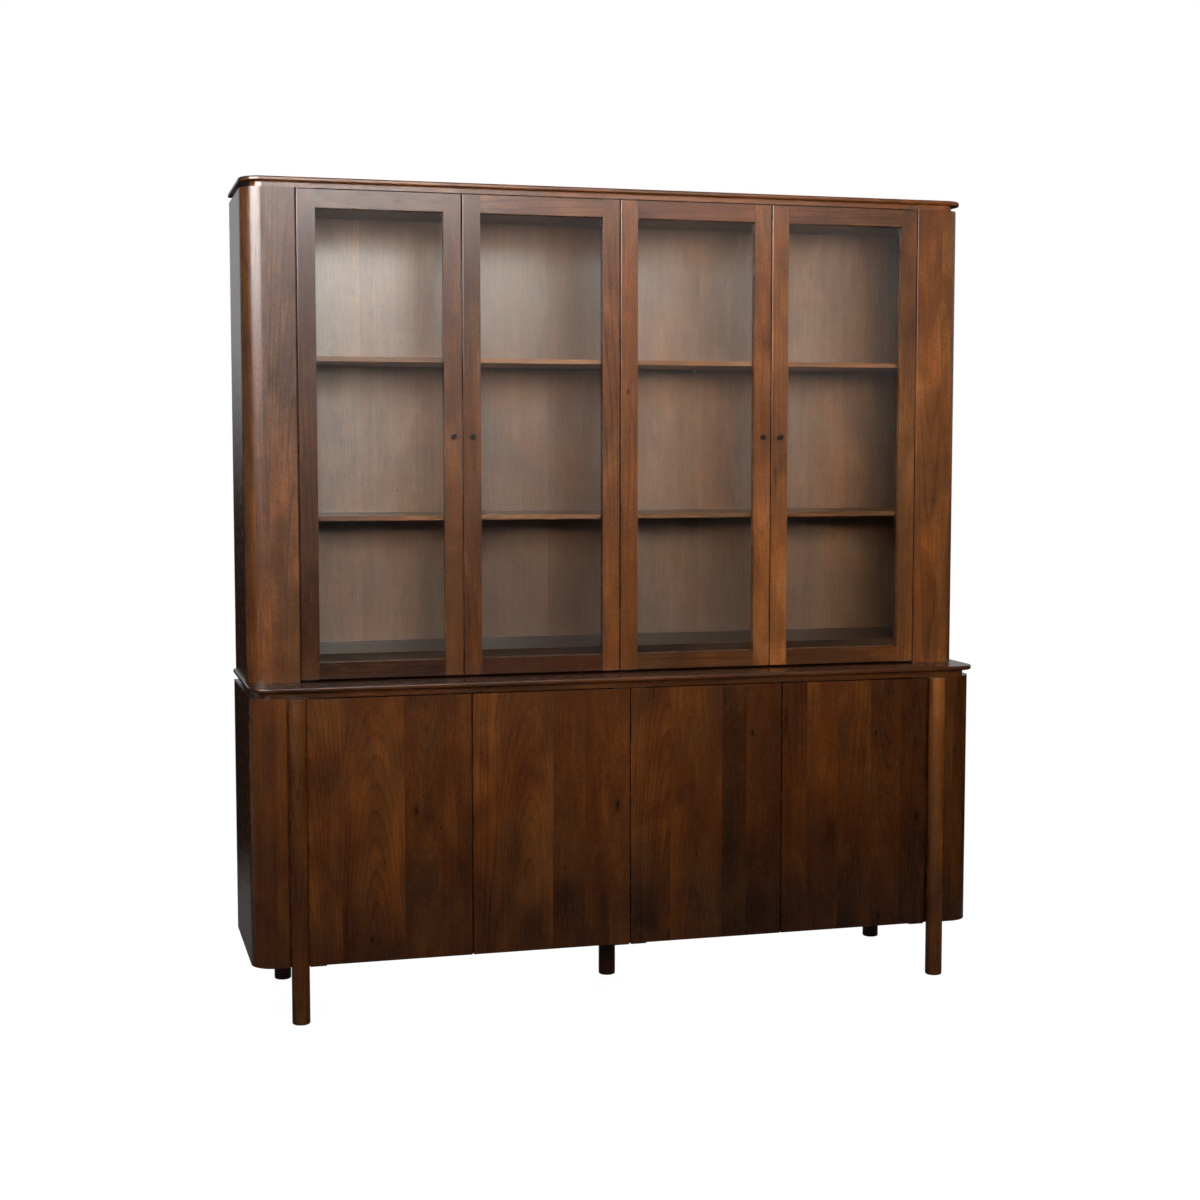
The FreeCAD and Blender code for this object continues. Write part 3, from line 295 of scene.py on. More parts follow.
    def ramp(self, value: Socket, stops: list[tuple[float, Colour | float]]) -> Socket:
        """Look a value up along a row of colours.

        Args:
            value: What is looked up.
            stops: Places from 0 to 1, each with a colour or a grey.

        Returns:
            The colour.
        """
        node = self.add("ShaderNodeValToRGB", value)
        elements = node.color_ramp.elements
        while len(elements) < len(stops):
            elements.new(0.5)
        for element, (place, colour) in zip(elements, stops):
            element.position = place
            tint = colour if isinstance(colour, tuple) else (colour, colour, colour)
            element.color = (*tint, 1.0)
        return node.outputs["Color"]

    def mixed(self, factor: Feed, first: Feed, second: Feed, how: str = "MIX") -> Socket:
        """Mix two colours.

        Args:
            factor: Share of the second colour.
            first: First colour.
            second: Second colour.
            how: The blend mode.

        Returns:
            The mixed colour.
        """
        node = self.add("ShaderNodeMix", data_type="RGBA", blend_type=how)
        for number, value in ((0, factor), (6, first), (7, second)):
            self.feed(node.inputs[number], value)
        return node.outputs[2]

    def mixed_shaders(self, factor: Feed, first: Socket, second: Socket) -> Socket:
        """Return two shaders mixed by the share of the second."""
        return self.add("ShaderNodeMixShader", factor, first, second).outputs[0]

    def attribute(self, name: str) -> Socket:
        """Return the vector that a mesh attribute holds."""
        return self.add("ShaderNodeAttribute", attribute_name=name).outputs["Vector"]

    def place(self) -> Socket:
        """Return a point's place in its piece."""
        return self.add("ShaderNodeTexCoord").outputs["Object"]

    def looked_at(self, rays: bpy.types.Node) -> Socket:
        """Return 1 for what the camera sees, also through glass, and else 0."""
        seen, through = rays.outputs["Is Camera Ray"], rays.outputs["Is Transmission Ray"]
        return self.maths("MAXIMUM", seen, through)

    def bump(self, height: Feed, strength: float, depth: float) -> Socket:
        """Make a normal that a height tilts.

        Args:
            height: The height, from 0 to 1.
            strength: How much of it counts.
            depth: What a height of 1 stands for, in metres.

        Returns:
            The normal.
        """
        feeds = {"Strength": strength, "Distance": depth, "Height": height}
        return self.add_named("ShaderNodeBump", feeds).outputs[0]

    def surface(
        self, colour: Feed, roughness: Feed, specular: float, normal: Socket, metallic: float = 0.0
    ) -> None:
        """Finish the tree with an opaque surface.

        Args:
            colour: Its colour.
            roughness: Its roughness.
            specular: How strongly it reflects.
            normal: Its normal.
            metallic: 1 for a bare metal.
        """
        feeds = {
            "Base Color": colour,
            "Metallic": metallic,
            "Roughness": roughness,
            "Specular IOR Level": specular,
            "Normal": normal,
        }
        self.finish_with(self.add_named("ShaderNodeBsdfPrincipled", feeds).outputs[0])

    def finish_with(self, shader: Socket) -> None:
        """Wire a shader to the tree's output."""
        target = "World" if isinstance(self.tree.id_data, bpy.types.World) else "Material"
        self.add("ShaderNodeOutput" + target, shader)


def new_bench(name: str) -> tuple[bpy.types.Material, NodeBench]:
    """Make an empty node material.

    Args:
        name: The material's name.

    Returns:
        The material and the bench that fills it.
    """
    material = bpy.data.materials.new(name)
    material.use_nodes = True
    return material, NodeBench(material.node_tree)


def dress(obj: bpy.types.Object, material: bpy.types.Material) -> None:
    """Put one material in each of an object's slots.

    Args:
        obj: The object to dress.
        material: Its finish.
    """
    if not obj.material_slots:
        obj.data.materials.append(material)
    for slot in obj.material_slots:
        slot.material = material


def dress_nodes(names: list[str], material: bpy.types.Material) -> None:
    """Give frame nodes a finish.

    Args:
        names: The nodes.
        material: Their finish.
    """
    for name in names:
        dress(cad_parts[name], material)
        LOG.info("%s: %s", name, material.name)


# ---------------------------------------------------------------- wood


class Run(Enum):
    """The way a board's fibres run, as axes for across, into and along the board."""

    UPRIGHT_FACING = (0, 1, 2)
    UPRIGHT_SIDE = (1, 0, 2)
    LEVEL_FACING = (2, 1, 0)
    LEVEL_FLAT = (1, 2, 0)


@dataclass(frozen=True)
class Heart:
    """Where the heart of the tree lay beside a plank, in millimetres from its middle.

    drift is how much nearer the face the heart comes for each metre down the plank, so that rings
    end in arches.
    """

    across: float = 0.0
    behind: float = 70.0
    drift: float = 60.0


@dataclass(frozen=True)
class Mark:
    """A knot or a cloud of stain, in millimetres from the plank's middle and its top."""

    across: float
    below: float
    size: float


NO_MARK = Mark(0.0, -5000.0, 0.0)


@dataclass(frozen=True)
class Plank:
    """One plank of a glued board, in millimetres from the board's low edge."""

    start: float
    end: float
    heart: Heart = Heart()
    tone: float = 1.0
    warmth: float = 0.5
    knot: Mark = NO_MARK
    cloud: Mark = NO_MARK

    @property
    def middle(self) -> float:
        """Return the middle of the plank's width."""
        return (self.start + self.end) / 2


@dataclass
class GrainFeed:
    """The sockets that a wood finish reads: place in the board, rings, tone and marks."""

    bench: NodeBench
    across: Socket
    deep: Socket
    along: Socket
    place: Socket
    heart: tuple[Feed, Feed, Feed]
    tone: Feed
    warmth: Feed
    knot: Socket | None = None
    cloud: Socket | None = None


SEED_STEP: Point = (7.3, 3.1, 5.7)  # how far the patterns move for each step of a seed, in metres


@dataclass(frozen=True)
class MarkedGrain:
    """Grain that is read from the marks which a timber piece carries on its faces."""

    def feed(self, bench: NodeBench) -> GrainFeed:
        """Make the sockets.

        Args:
            bench: Where the nodes go.

        Returns:
            The sockets a finish reads.
        """
        place = bench.attribute("grain")
        tone, warmth, seed = bench.split(bench.attribute("board"))
        return GrainFeed(
            bench,
            *bench.split(place),
            bench.vector_maths("ADD", place, bench.dimmed(SEED_STEP, seed)),
            bench.split(bench.attribute("heart")),
            tone,
            warmth,
            bench.attribute("knot"),
            bench.attribute("cloud"),
        )


@dataclass(frozen=True)
class PlacedGrain:
    """Grain that follows a frame node's own place, with planks of one width side by side.

    Widths, shift and the heart's depth are in millimetres. The spreads say how much chance may
    change from plank to plank: the heart's place in plank widths, its depth, its lean in metres a
    metre, and the tone.
    """

    run: Run
    plank: float = 95.0
    shift: float = 0.0
    seed: float = 0.0
    behind: float = 55.0
    tone: float = 1.0
    heart_spread: float = 1.3
    depth_spread: float = 50.0
    lean_spread: float = 0.16
    tone_spread: float = 0.22

    def feed(self, bench: NodeBench) -> GrainFeed:
        """Make the sockets.

        Args:
            bench: Where the nodes go.

        Returns:
            The sockets a finish reads.
        """
        place = bench.split(bench.place())
        level, deep, along = (place[axis] for axis in self.run.value)
        width = self.plank * MM
        steps = bench.maths("DIVIDE", bench.plus(level, self.shift * MM), width)
        number = bench.maths("FLOOR", steps)
        chance = bench.add("ShaderNodeTexWhiteNoise", noise_dimensions="1D")
        bench.feed(chance.inputs["W"], bench.plus(number, self.seed * 3.7 + 0.31))
        one, two, three = bench.split(chance.outputs["Color"])
        across = bench.times(bench.minus(bench.minus(steps, number), 0.5), width)
        along = bench.times(along, -1.0)
        heart = (
            bench.times(bench.minus(one, 0.5), width * self.heart_spread),
            bench.maths("MULTIPLY_ADD", two, self.depth_spread * MM, self.behind * MM),
            bench.times(bench.minus(three, 0.5), self.lean_spread),
        )
        tone = bench.blend_in(self.tone, two, self.tone_spread)
        offset = bench.dimmed(SEED_STEP, bench.plus(number, self.seed))
        moved = bench.vector_maths("ADD", bench.join(across, deep, along), offset)
        return GrainFeed(bench, across, deep, along, moved, heart, tone, three)


STREAKS = Pattern((60, 60, 1.9), 3.0, 0.6)
FIBRES = Pattern((480, 480, 10), 2.0, 0.6)
PORES = Pattern((1000, 1000, 24), 1.0)
FLECKS = Pattern((300, 300, 110), 2.0, 0.6)
BROAD_CLOUDS = Pattern((4.6, 4.6, 1.9))
PATCHES = Pattern((14, 14, 6), 3.0, 0.5, 0.6)
WAVER = Pattern((3.4, 3.4, 1.1), 3.0, 0.45)
WARMTH = Pattern((9, 9, 3.4))
RAGGED = Pattern((16, 16, 5), 3.0, 0.6)
SPECK_GRID: Point = (20, 20, 14)
REDDER: Colour = (1.08, 0.99, 0.76)
GREYER: Colour = (0.9, 1.03, 1.22)


@dataclass(frozen=True)
class WoodFinish:
    """A wood, its stain and its lacquer.

    The weights say how much each pattern changes the wood between its dark and its pale colour, and
    the depths how much a mark takes away. ring_gap, least_mark and relief_depth are in millimetres.
    foot is what is left of the tone low on a marked board, a painted shade for the light that
    dims towards the floor, and shade_fall is where this painted shade starts and ends, in
    metres from the top.
    """

    dark: Colour
    middle: Colour
    pale: Colour
    ring_gap: float = 8.5
    ring_weight: float = 0.14
    band_weight: float = 0.16
    streak_weight: float = 0.16
    patch_weight: float = 0.6
    cloud_weight: float = 0.6
    fleck_weight: float = 0.34
    fibre_weight: float = 0.3
    pore_weight: float = 0.3
    knot_depth: float = 0.75
    stain_depth: float = 0.62
    speck_depth: float = 0.7
    least_mark: float = 4.0
    roughness: float = 0.22
    gloss: float = 0.3
    relief: float = 0.3
    relief_depth: float = 0.3
    foot: float = 1.0
    shade_fall: tuple[float, float] = (0.25, 0.68)

    def material(self, name: str, source: MarkedGrain | PlacedGrain) -> bpy.types.Material:
        """Build the finish for one way of reading the grain.

        Args:
            name: The material's name.
            source: How the grain is read.

        Returns:
            The material.
        """
        material, bench = new_bench(name)
        grain = source.feed(bench)
        lines, bands = self._rings(grain)
        fibre = bench.cloudy(grain.place, FIBRES)
        fleck = bench.cloudy(grain.place, FLECKS)
        pores = bench.ease(bench.cloudy(grain.place, PORES), 0.6, 0.72)
        light: Feed = 0.5
        for pattern, weight in (
            (bench.cloudy(grain.place, BROAD_CLOUDS), self.cloud_weight),
            (bench.cloudy(grain.place, PATCHES), self.patch_weight),
            (bench.cloudy(grain.place, STREAKS), self.streak_weight),
            (bands, self.band_weight),
            (fibre, self.fibre_weight),
            (fleck, self.fleck_weight),
        ):
            light = bench.blend_in(light, pattern, weight)
        light = bench.minus(light, bench.times(lines, self.ring_weight))
        light = bench.minus(light, bench.times(pores, self.pore_weight))
        colour = bench.ramp(light, [(0.12, self.dark), (0.5, self.middle), (0.88, self.pale)])
        colour = bench.dimmed(self._warmed(grain, colour), grain.tone)
        colour = self._marked(grain, self._specked(grain, colour))
        rough = bench.blend_in(self.roughness, fleck, 0.08)
        rough = bench.maths("MULTIPLY_ADD", pores, 0.12, rough)
        dents = bench.plus(pores, bench.times(lines, 0.25))
        height = bench.minus(bench.times(fibre, 0.5), dents)
        normal = bench.bump(height, self.relief, self.relief_depth * MM)
        bench.surface(colour, rough, self.gloss, normal)
        return material

    def _rings(self, grain: GrainFeed) -> tuple[Socket, Socket]:
        """Make the growth rings as the plank's face cuts them.

        Args:
            grain: The grain's sockets.

        Returns:
            The thin dark lines between rings, and the broader light and dark bands.
        """
        bench = grain.bench
        side, depth, fade = bench.split(bench.noise(grain.place, WAVER).outputs["Color"])
        across = bench.blend_in(bench.minus(grain.across, grain.heart[0]), side, 0.05)
        leaning = bench.times(grain.heart[2], grain.along)
        behind = bench.plus(bench.plus(grain.heart[1], grain.deep), leaning)
        behind = bench.blend_in(behind, depth, 0.045)
        squares = bench.plus(bench.times(across, across), bench.times(behind, behind))
        radius = bench.maths("SQRT", squares)
        if grain.knot is not None:
            reach, size = self._reach(grain, grain.knot, 0.55)
            bulge = bench.times(bench.maths("EXPONENT", bench.times(reach, -0.5)), size)
            radius = bench.maths("MULTIPLY_ADD", bulge, 1.6, radius)
        count = bench.maths("DIVIDE", radius, self.ring_gap * MM)
        edge = [(0.0, 0.0), (0.62, 0.05), (0.88, 1.0), (1.0, 0.0)]
        line = bench.ramp(bench.maths("FRACT", count), edge)
        feeds = {"W": bench.times(count, 0.55), "Scale": 1.0, "Detail": 1.5}
        band = bench.add_named("ShaderNodeTexNoise", feeds, noise_dimensions="1D")
        return bench.times(line, bench.ease(fade, 0.4, 0.62, 0.1, 1.0)), band.outputs["Fac"]

    def _reach(self, grain: GrainFeed, mark: Socket, stretch: float) -> tuple[Socket, Socket]:
        """Measure how far a point lies from a mark, in squares of the mark's size.

        Args:
            grain: The grain's sockets.
            mark: The mark's place and size.
            stretch: How much the mark is drawn out along the board.

        Returns:
            The squared reach, and the mark's size.
        """
        bench = grain.bench
        at_across, at_along, size = bench.split(mark)
        sideways = bench.minus(grain.across, at_across)
        lengthways = bench.times(bench.minus(grain.along, at_along), stretch)
        squares = bench.plus(bench.times(sideways, sideways), bench.times(lengthways, lengthways))
        span = bench.maths("MAXIMUM", size, MM)
        return bench.maths("DIVIDE", squares, bench.times(span, span)), size

    def _warmed(self, grain: GrainFeed, colour: Socket) -> Socket:
        """Shift the colour between redder and greyer brown over the board.

        Args:
            grain: The grain's sockets.
            colour: The colour so far.

        Returns:
            The shifted colour.
        """
        bench = grain.bench
        drift = bench.times(bench.cloudy(grain.place, WARMTH), 0.75)
        share = bench.ease(bench.plus(drift, bench.times(grain.warmth, 0.25)), 0.32, 0.66)
        return bench.mixed(1.0, colour, bench.mixed(share, GREYER, REDDER), "MULTIPLY")

    def _specked(self, grain: GrainFeed, colour: Socket) -> Socket:
        """Scatter the pin holes and bark specks that a stain turns black.

        Args:
            grain: The grain's sockets.
            colour: The colour so far.

        Returns:
            The specked colour.
        """
        bench = grain.bench
        feeds = {"Vector": bench.vector_maths("MULTIPLY", grain.place, SPECK_GRID), "Scale": 1.0}
        cells = bench.add_named("ShaderNodeTexVoronoi", feeds, voronoi_dimensions="3D")
        chosen = bench.maths("GREATER_THAN", bench.split(cells.outputs["Color"])[0], 0.8)
        speck = bench.times(bench.ease(cells.outputs["Distance"], 0.07, 0.02), chosen)
        return bench.darkened(colour, speck, self.speck_depth)

    def _marked(self, grain: GrainFeed, colour: Socket) -> Socket:
        """Darken the colour in a knot's eye, under a cloud of stain and towards the board's foot.

        Args:
            grain: The grain's sockets.
            colour: The colour so far.

        Returns:
            The marked colour.
        """
        if grain.knot is None or grain.cloud is None:
            return colour
        bench = grain.bench
        reach, size = self._reach(grain, grain.knot, 0.5)
        eye = bench.maths("EXPONENT", bench.times(reach, -2.2))
        eye = bench.times(eye, bench.ease(size, 0.0, self.least_mark * MM))
        colour = bench.darkened(colour, eye, self.knot_depth)
        ragged = bench.cloudy(grain.place, RAGGED)
        reach, size = self._reach(grain, grain.cloud, 0.6)
        reach = bench.plus(reach, bench.times(ragged, 0.8))
        shadow = bench.maths("EXPONENT", bench.times(reach, -0.8))
        shadow = bench.times(shadow, bench.ease(size, 0.0, self.least_mark * MM))
        colour = bench.darkened(colour, shadow, self.stain_depth)
        # painted shade: the tone drops towards the board's foot, as the light does
        low = bench.blend_in(grain.along, ragged, 0.4)
        return bench.dimmed(colour, bench.ease(low, *self.shade_fall, 1.0, self.foot))


STAINED = WoodFinish(shade(44, 20, 7), shade(90, 49, 19), shade(138, 82, 37))
# base finish: a deeper stain, darkened further as painted shade for the lower case's dimmer light
DEEP_STAIN_AND_SHADE = WoodFinish(
    shade(36, 14, 4),
    shade(82, 43, 14),
    shade(124, 71, 27),
    ring_weight=0.15,
    fibre_weight=0.26,
    pore_weight=0.22,
    roughness=0.205,
    gloss=0.34,
    foot=0.68,
)
CORNER = replace(STAINED, roughness=0.25, gloss=0.23)
INNER = WoodFinish(
    shade(52, 28, 12), shade(98, 58, 28), shade(140, 92, 50), patch_weight=0.4, roughness=0.3
)
VENEER = WoodFinish(
    shade(88, 54, 30),
    shade(140, 92, 60),
    shade(174, 128, 92),
    ring_weight=0.1,
    band_weight=0.1,
    cloud_weight=0.15,
    patch_weight=0.4,
    roughness=0.3,
    gloss=0.95,
    # painted shade: the back panels darken from 0.72 m below their top, for the dim lower bays
    foot=0.74,
    shade_fall=(0.72, 1.2),
)


# ---------------------------------------------------------------- plain finishes


@dataclass(frozen=True)
class GlassFinish:
    """Clear float glass in a thin pane, with a film of dust that dulls its polish."""

    name: str = "float_glass"
    tint: Colour = (0.955, 0.97, 0.962)
    index: float = 1.5
    film: Pattern = Pattern((5, 5, 3), 3.0)
    dullness: float = 0.05
    grazing_power: float = 5.0

    def material(self) -> bpy.types.Material:
        """Build the pane: clear, with a reflection that grows towards a grazing look.

        Returns:
            The material.
        """
        material, bench = new_bench(self.name)
        clear = bench.add("ShaderNodeBsdfTransparent", self.tint).outputs[0]
        rough = bench.times(bench.cloudy(bench.place(), self.film), self.dullness)
        polish = bench.add_named("ShaderNodeBsdfGlossy", {"Roughness": rough}).outputs[0]
        facing = bench.add("ShaderNodeLayerWeight").outputs["Facing"]
        grazing = bench.maths("POWER", facing, self.grazing_power)
        head_on = ((self.index - 1) / (self.index + 1)) ** 2
        share = bench.maths("MULTIPLY_ADD", grazing, 1 - head_on, head_on)
        bench.finish_with(bench.mixed_shaders(share, clear, polish))
        return material


@dataclass(frozen=True)
class MetalFinish:
    """A metal, bare or blackened, with the fine wear of handling."""

    name: str
    base: Colour
    worn: Colour
    roughness: float
    metallic: float = 1.0
    specular: float = 0.5
    wear: Pattern = Pattern((90, 90, 90), 4.0, 0.6)
    scratches: Pattern = Pattern((300, 300, 300))

    def material(self) -> bpy.types.Material:
        """Build the metal.

        Returns:
            The material.
        """
        material, bench = new_bench(self.name)
        place = bench.place()
        wear = bench.cloudy(place, self.wear)
        scratches = bench.cloudy(place, self.scratches)
        colour = bench.mixed(bench.ease(wear, 0.45, 0.75), self.base, self.worn)
        rough = bench.blend_in(bench.blend_in(self.roughness, wear, 0.2), scratches, 0.15)
        normal = bench.bump(scratches, 0.15, 0.1 * MM)
        bench.surface(colour, rough, self.specular, normal, self.metallic)
        return material


@dataclass(frozen=True)
class PlasticFinish:
    """A moulded plastic with a fine spark-eroded texture."""

    name: str
    base: Colour
    roughness: float = 0.62
    specular: float = 0.12
    mottle: Pattern = Pattern((40, 40, 40))
    skin: Pattern = Pattern((2500, 2500, 2500), 1.0)

    def material(self) -> bpy.types.Material:
        """Build the plastic.

        Returns:
            The material.
        """
        material, bench = new_bench(self.name)
        place = bench.place()
        mottle = bench.cloudy(place, self.mottle)
        lighter = tuple(channel * 1.25 + 0.004 for channel in self.base)
        colour = bench.mixed(mottle, self.base, lighter)
        rough = bench.blend_in(self.roughness, mottle, 0.15)
        normal = bench.bump(bench.cloudy(place, self.skin), 0.2, 0.1 * MM)
        bench.surface(colour, rough, self.specular, normal)
        return material


# ---------------------------------------------------------------- timber pieces


SQUARE = 0.97  # a face whose normal is at least this much along one axis is flat, and else rounded
PLANK_SEED = 0.37  # the step in the patterns' seed from plank to plank


def random_heart(
    chance: random.Random, across: float, behind: tuple[float, float], drift: float
) -> Heart:
    """Draw the heart of a plank.

    Args:
        chance: Where the draws come from.
        across: How far to either side it may lie, in millimetres.
        behind: How near and how deep it may lie, in millimetres.
        drift: How much it may drift either way, in millimetres a metre.

    Returns:
        The heart.
    """
    return Heart(
        chance.uniform(-across, across), chance.uniform(*behind), chance.uniform(-drift, drift)
    )


@dataclass(frozen=True)
class PlankChooser:
    """Knows which plank of a board a face belongs to, and where that plank lies."""

    run: Run
    edge: float
    top: float
    front: float
    planks: tuple[Plank, ...]
    seed: float

    @classmethod
    def within(
        cls, run: Run, low: Point, high: Point, planks: tuple[Plank, ...], seed: float
    ) -> "PlankChooser":
        """Lay planks side by side from the low edge of a box.

        Args:
            run: The way the fibres run.
            low: The box's low corner.
            high: The box's high corner.
            planks: The planks, from the low edge on.
            seed: Seed of the grain's patterns.

        Returns:
            The board.
        """
        across, deep, along = run.value
        return cls(run, low[across], high[along], low[deep], planks, seed)

    def pick(self, middle: Point) -> tuple["PlankChooser", int]:
        """Choose the plank for a face.

        Args:
            middle: The face's middle, in metres.

        Returns:
            The board and the number of the plank in it.
        """
        place = (middle[self.run.value[0]] - self.edge) / MM
        for number, plank in enumerate(self.planks):
            if place <= plank.end:
                return self, number
        return self, len(self.planks) - 1

    def local(self, point: Point, plank: Plank) -> Point:
        """Turn a point into the plank's own across, deep and along.

        Args:
            point: The point, in metres.
            plank: The plank.

        Returns:
            The point from the plank's middle, the board's front and its top, in metres.
        """
        across, deep, along = self.run.value
        middle = self.edge + plank.middle * MM
        return (point[across] - middle, point[deep] - self.front, self.top - point[along])


@dataclass(frozen=True)
class FrameChooser:
    """Knows which stile, rail or bead of a door frame a face belongs to."""

    stile: float
    low: Point
    high: Point
    left: PlankChooser
    right: PlankChooser
    upper: PlankChooser
    lower: PlankChooser
    joint: PlankChooser
    seam: float = 0.8 * MM

    def pick(self, middle: Point) -> tuple[PlankChooser, int]:
        """Choose the member for a face.

        Args:
            middle: The face's middle, in metres.

        Returns:
            The member and the number of its plank.
        """
        inside = min(middle[0] - self.low[0], self.high[0] - middle[0]) - self.stile
        if middle[0] < self.low[0] + self.stile:
            return self.left, 0
        if middle[0] > self.high[0] - self.stile:
            return self.right, 0
        if inside < self.seam:
            return self.joint, 0
        return (self.upper if middle[2] > (self.low[2] + self.high[2]) / 2 else self.lower), 0


def mark_grain(
    mesh: bpy.types.Mesh,
    faces: list[list[Corner]],
    choose: PlankChooser | FrameChooser,
    worn: float,
) -> None:
    """Write each face's grain, rings, tone and marks on a mesh as attributes.

    Args:
        mesh: The mesh, with its faces in the same order.
        faces: The faces' corners.
        choose: Tells which plank a face belongs to.
        worn: How much paler a face is that lies on a rounded arris.
    """
    grain: list[float] = []
    rows: dict[str, list[float]] = {"heart": [], "board": [], "knot": [], "cloud": []}
    for face, polygon in zip(faces, mesh.polygons):
        rounded = max(abs(part) for part in polygon.normal) < SQUARE
        middle = tuple(sum(point[axis] for point, _ in face) / len(face) for axis in range(3))
        board, number = choose.pick(middle)
        plank = board.planks[number]
        for point, _ in face:
            grain.extend(board.local(point, plank))
        heart = plank.heart
        rows["heart"] += [heart.across * MM, heart.behind * MM, -heart.drift * MM]
        tone = plank.tone * (worn if rounded else 1.0)
        rows["board"] += [tone, plank.warmth, board.seed + number * PLANK_SEED]
        for name, mark in (("knot", plank.knot), ("cloud", plank.cloud)):
            rows[name] += [mark.across * MM, mark.below * MM, mark.size * MM]
    mesh.attributes.new("grain", "FLOAT_VECTOR", "CORNER").data.foreach_set("vector", grain)
    for name, values in rows.items():
        mesh.attributes.new(name, "FLOAT_VECTOR", "FACE").data.foreach_set("vector", values)


def split_face(face: list[Corner], axis: int, place: float) -> list[list[Corner]]:
    """Cut one face along a plane.

    Args:
        face: The face's corners, each with its normal.
        axis: The axis that the plane crosses.
        place: Where it crosses it, in metres.

    Returns:
        The face itself, or its two parts.
    """
    sides = [point[axis] - place for point, _ in face]
    if min(sides) > -TOUCH or max(sides) < TOUCH:
        return [face]
    low: list[Corner] = []
    high: list[Corner] = []
    for number, corner in enumerate(face):
        following = (number + 1) % len(face)
        here, there = sides[number], sides[following]
        if here <= TOUCH:
            low.append(corner)
        if here >= -TOUCH:
            high.append(corner)
        if min(here, there) < -TOUCH and max(here, there) > TOUCH:
            ends = sorted((corner, face[following]))
            share = (place - ends[0][0][axis]) / (ends[1][0][axis] - ends[0][0][axis])
            cut = tuple(tuple(Vector(a).lerp(Vector(b), share)) for a, b in zip(*ends))
            low.append(cut)
            high.append(cut)
    return [part for part in (low, high) if len(part) > 2]


class Timber:
    """A wooden piece in the exact shape of a frame node, with its grain marked on its faces."""

    def __init__(self, node: str, body: str, slot: str = "stained_wood") -> None:
        """Take the node's skin.

        Args:
            node: The frame node whose shape the piece has.
            body: The body that it moves with.
            slot: A material slot's name; it is stored but not used.
        """
        self.node = node
        self.body = body
        self.slot = slot
        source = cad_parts[node].data
        points = [tuple(vertex.co) for vertex in source.vertices]
        normals = [tuple(corner.vector) for corner in source.corner_normals]
        self.faces: list[list[Corner]] = [
            [(points[source.loops[i].vertex_index], normals[i]) for i in face.loop_indices]
            for face in source.polygons
        ]

    def saw(self, axis: int, places: list[float]) -> None:
        """Cut the skin along planes, so that a face never spans two planks.

        Args:
            axis: The axis that the planes cross.
            places: Where they cross it, in metres.
        """
        for place in places:
            self.faces = [piece for face in self.faces for piece in split_face(face, axis, place)]

    def build(
        self, choose: PlankChooser | FrameChooser, material: bpy.types.Material, worn: float = 1.0
    ) -> None:
        """Make the piece's object.

        Args:
            choose: Tells which plank a face belongs to.
            material: The piece's finish.
            worn: How much paler the rounded arrises are.
        """
        shared: dict[tuple[int, ...], int] = {}
        points: list[Point] = []
        loops: list[list[int]] = []
        normals: list[Point] = []
        kept: list[list[Corner]] = []
        for face in self.faces:
            ring = []
            for point, _ in face:
                key = merge_key(point)
                if key not in shared:
                    shared[key] = len(points)
                    points.append(point)
                ring.append(shared[key])
            if len(set(ring)) == len(ring):
                loops.append(ring)
                kept.append(face)
                normals.extend(normal for _, normal in face)
        mesh = new_mesh(self.node + "_timber", points, loops)
        mark_grain(mesh, kept, choose, worn)
        mesh.normals_split_custom_set(normals)
        piece = put_in_scene(self.node + "_timber", mesh)
        dress(piece, material)
        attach(piece, self.body)
        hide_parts(self.node)
        LOG.info("%s: %d faces, %s", piece.name, len(loops), material.name)


def glue_up(
    timber: Timber,
    planks: tuple[Plank, ...],
    seed: float,
    material: bpy.types.Material,
    worn: float = 1.0,
) -> None:
    """Make a piece of upright planks side by side, cut where they meet.

    Args:
        timber: The piece.
        planks: Its planks, of which the last may reach past its edge.
        seed: Seed of the grain's patterns.
        material: Its finish.
        worn: How much paler its rounded arrises are.
    """
    low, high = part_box(timber.node)
    seams = [low[0] + plank.end * MM for plank in planks[:-1]]
    timber.saw(0, [seam for seam in seams if seam < high[0] - MM])
    board = PlankChooser.within(Run.UPRIGHT_FACING, low, high, planks, seed)
    timber.build(board, material, worn)


# ---------------------------------------------------------------- sub-assemblies


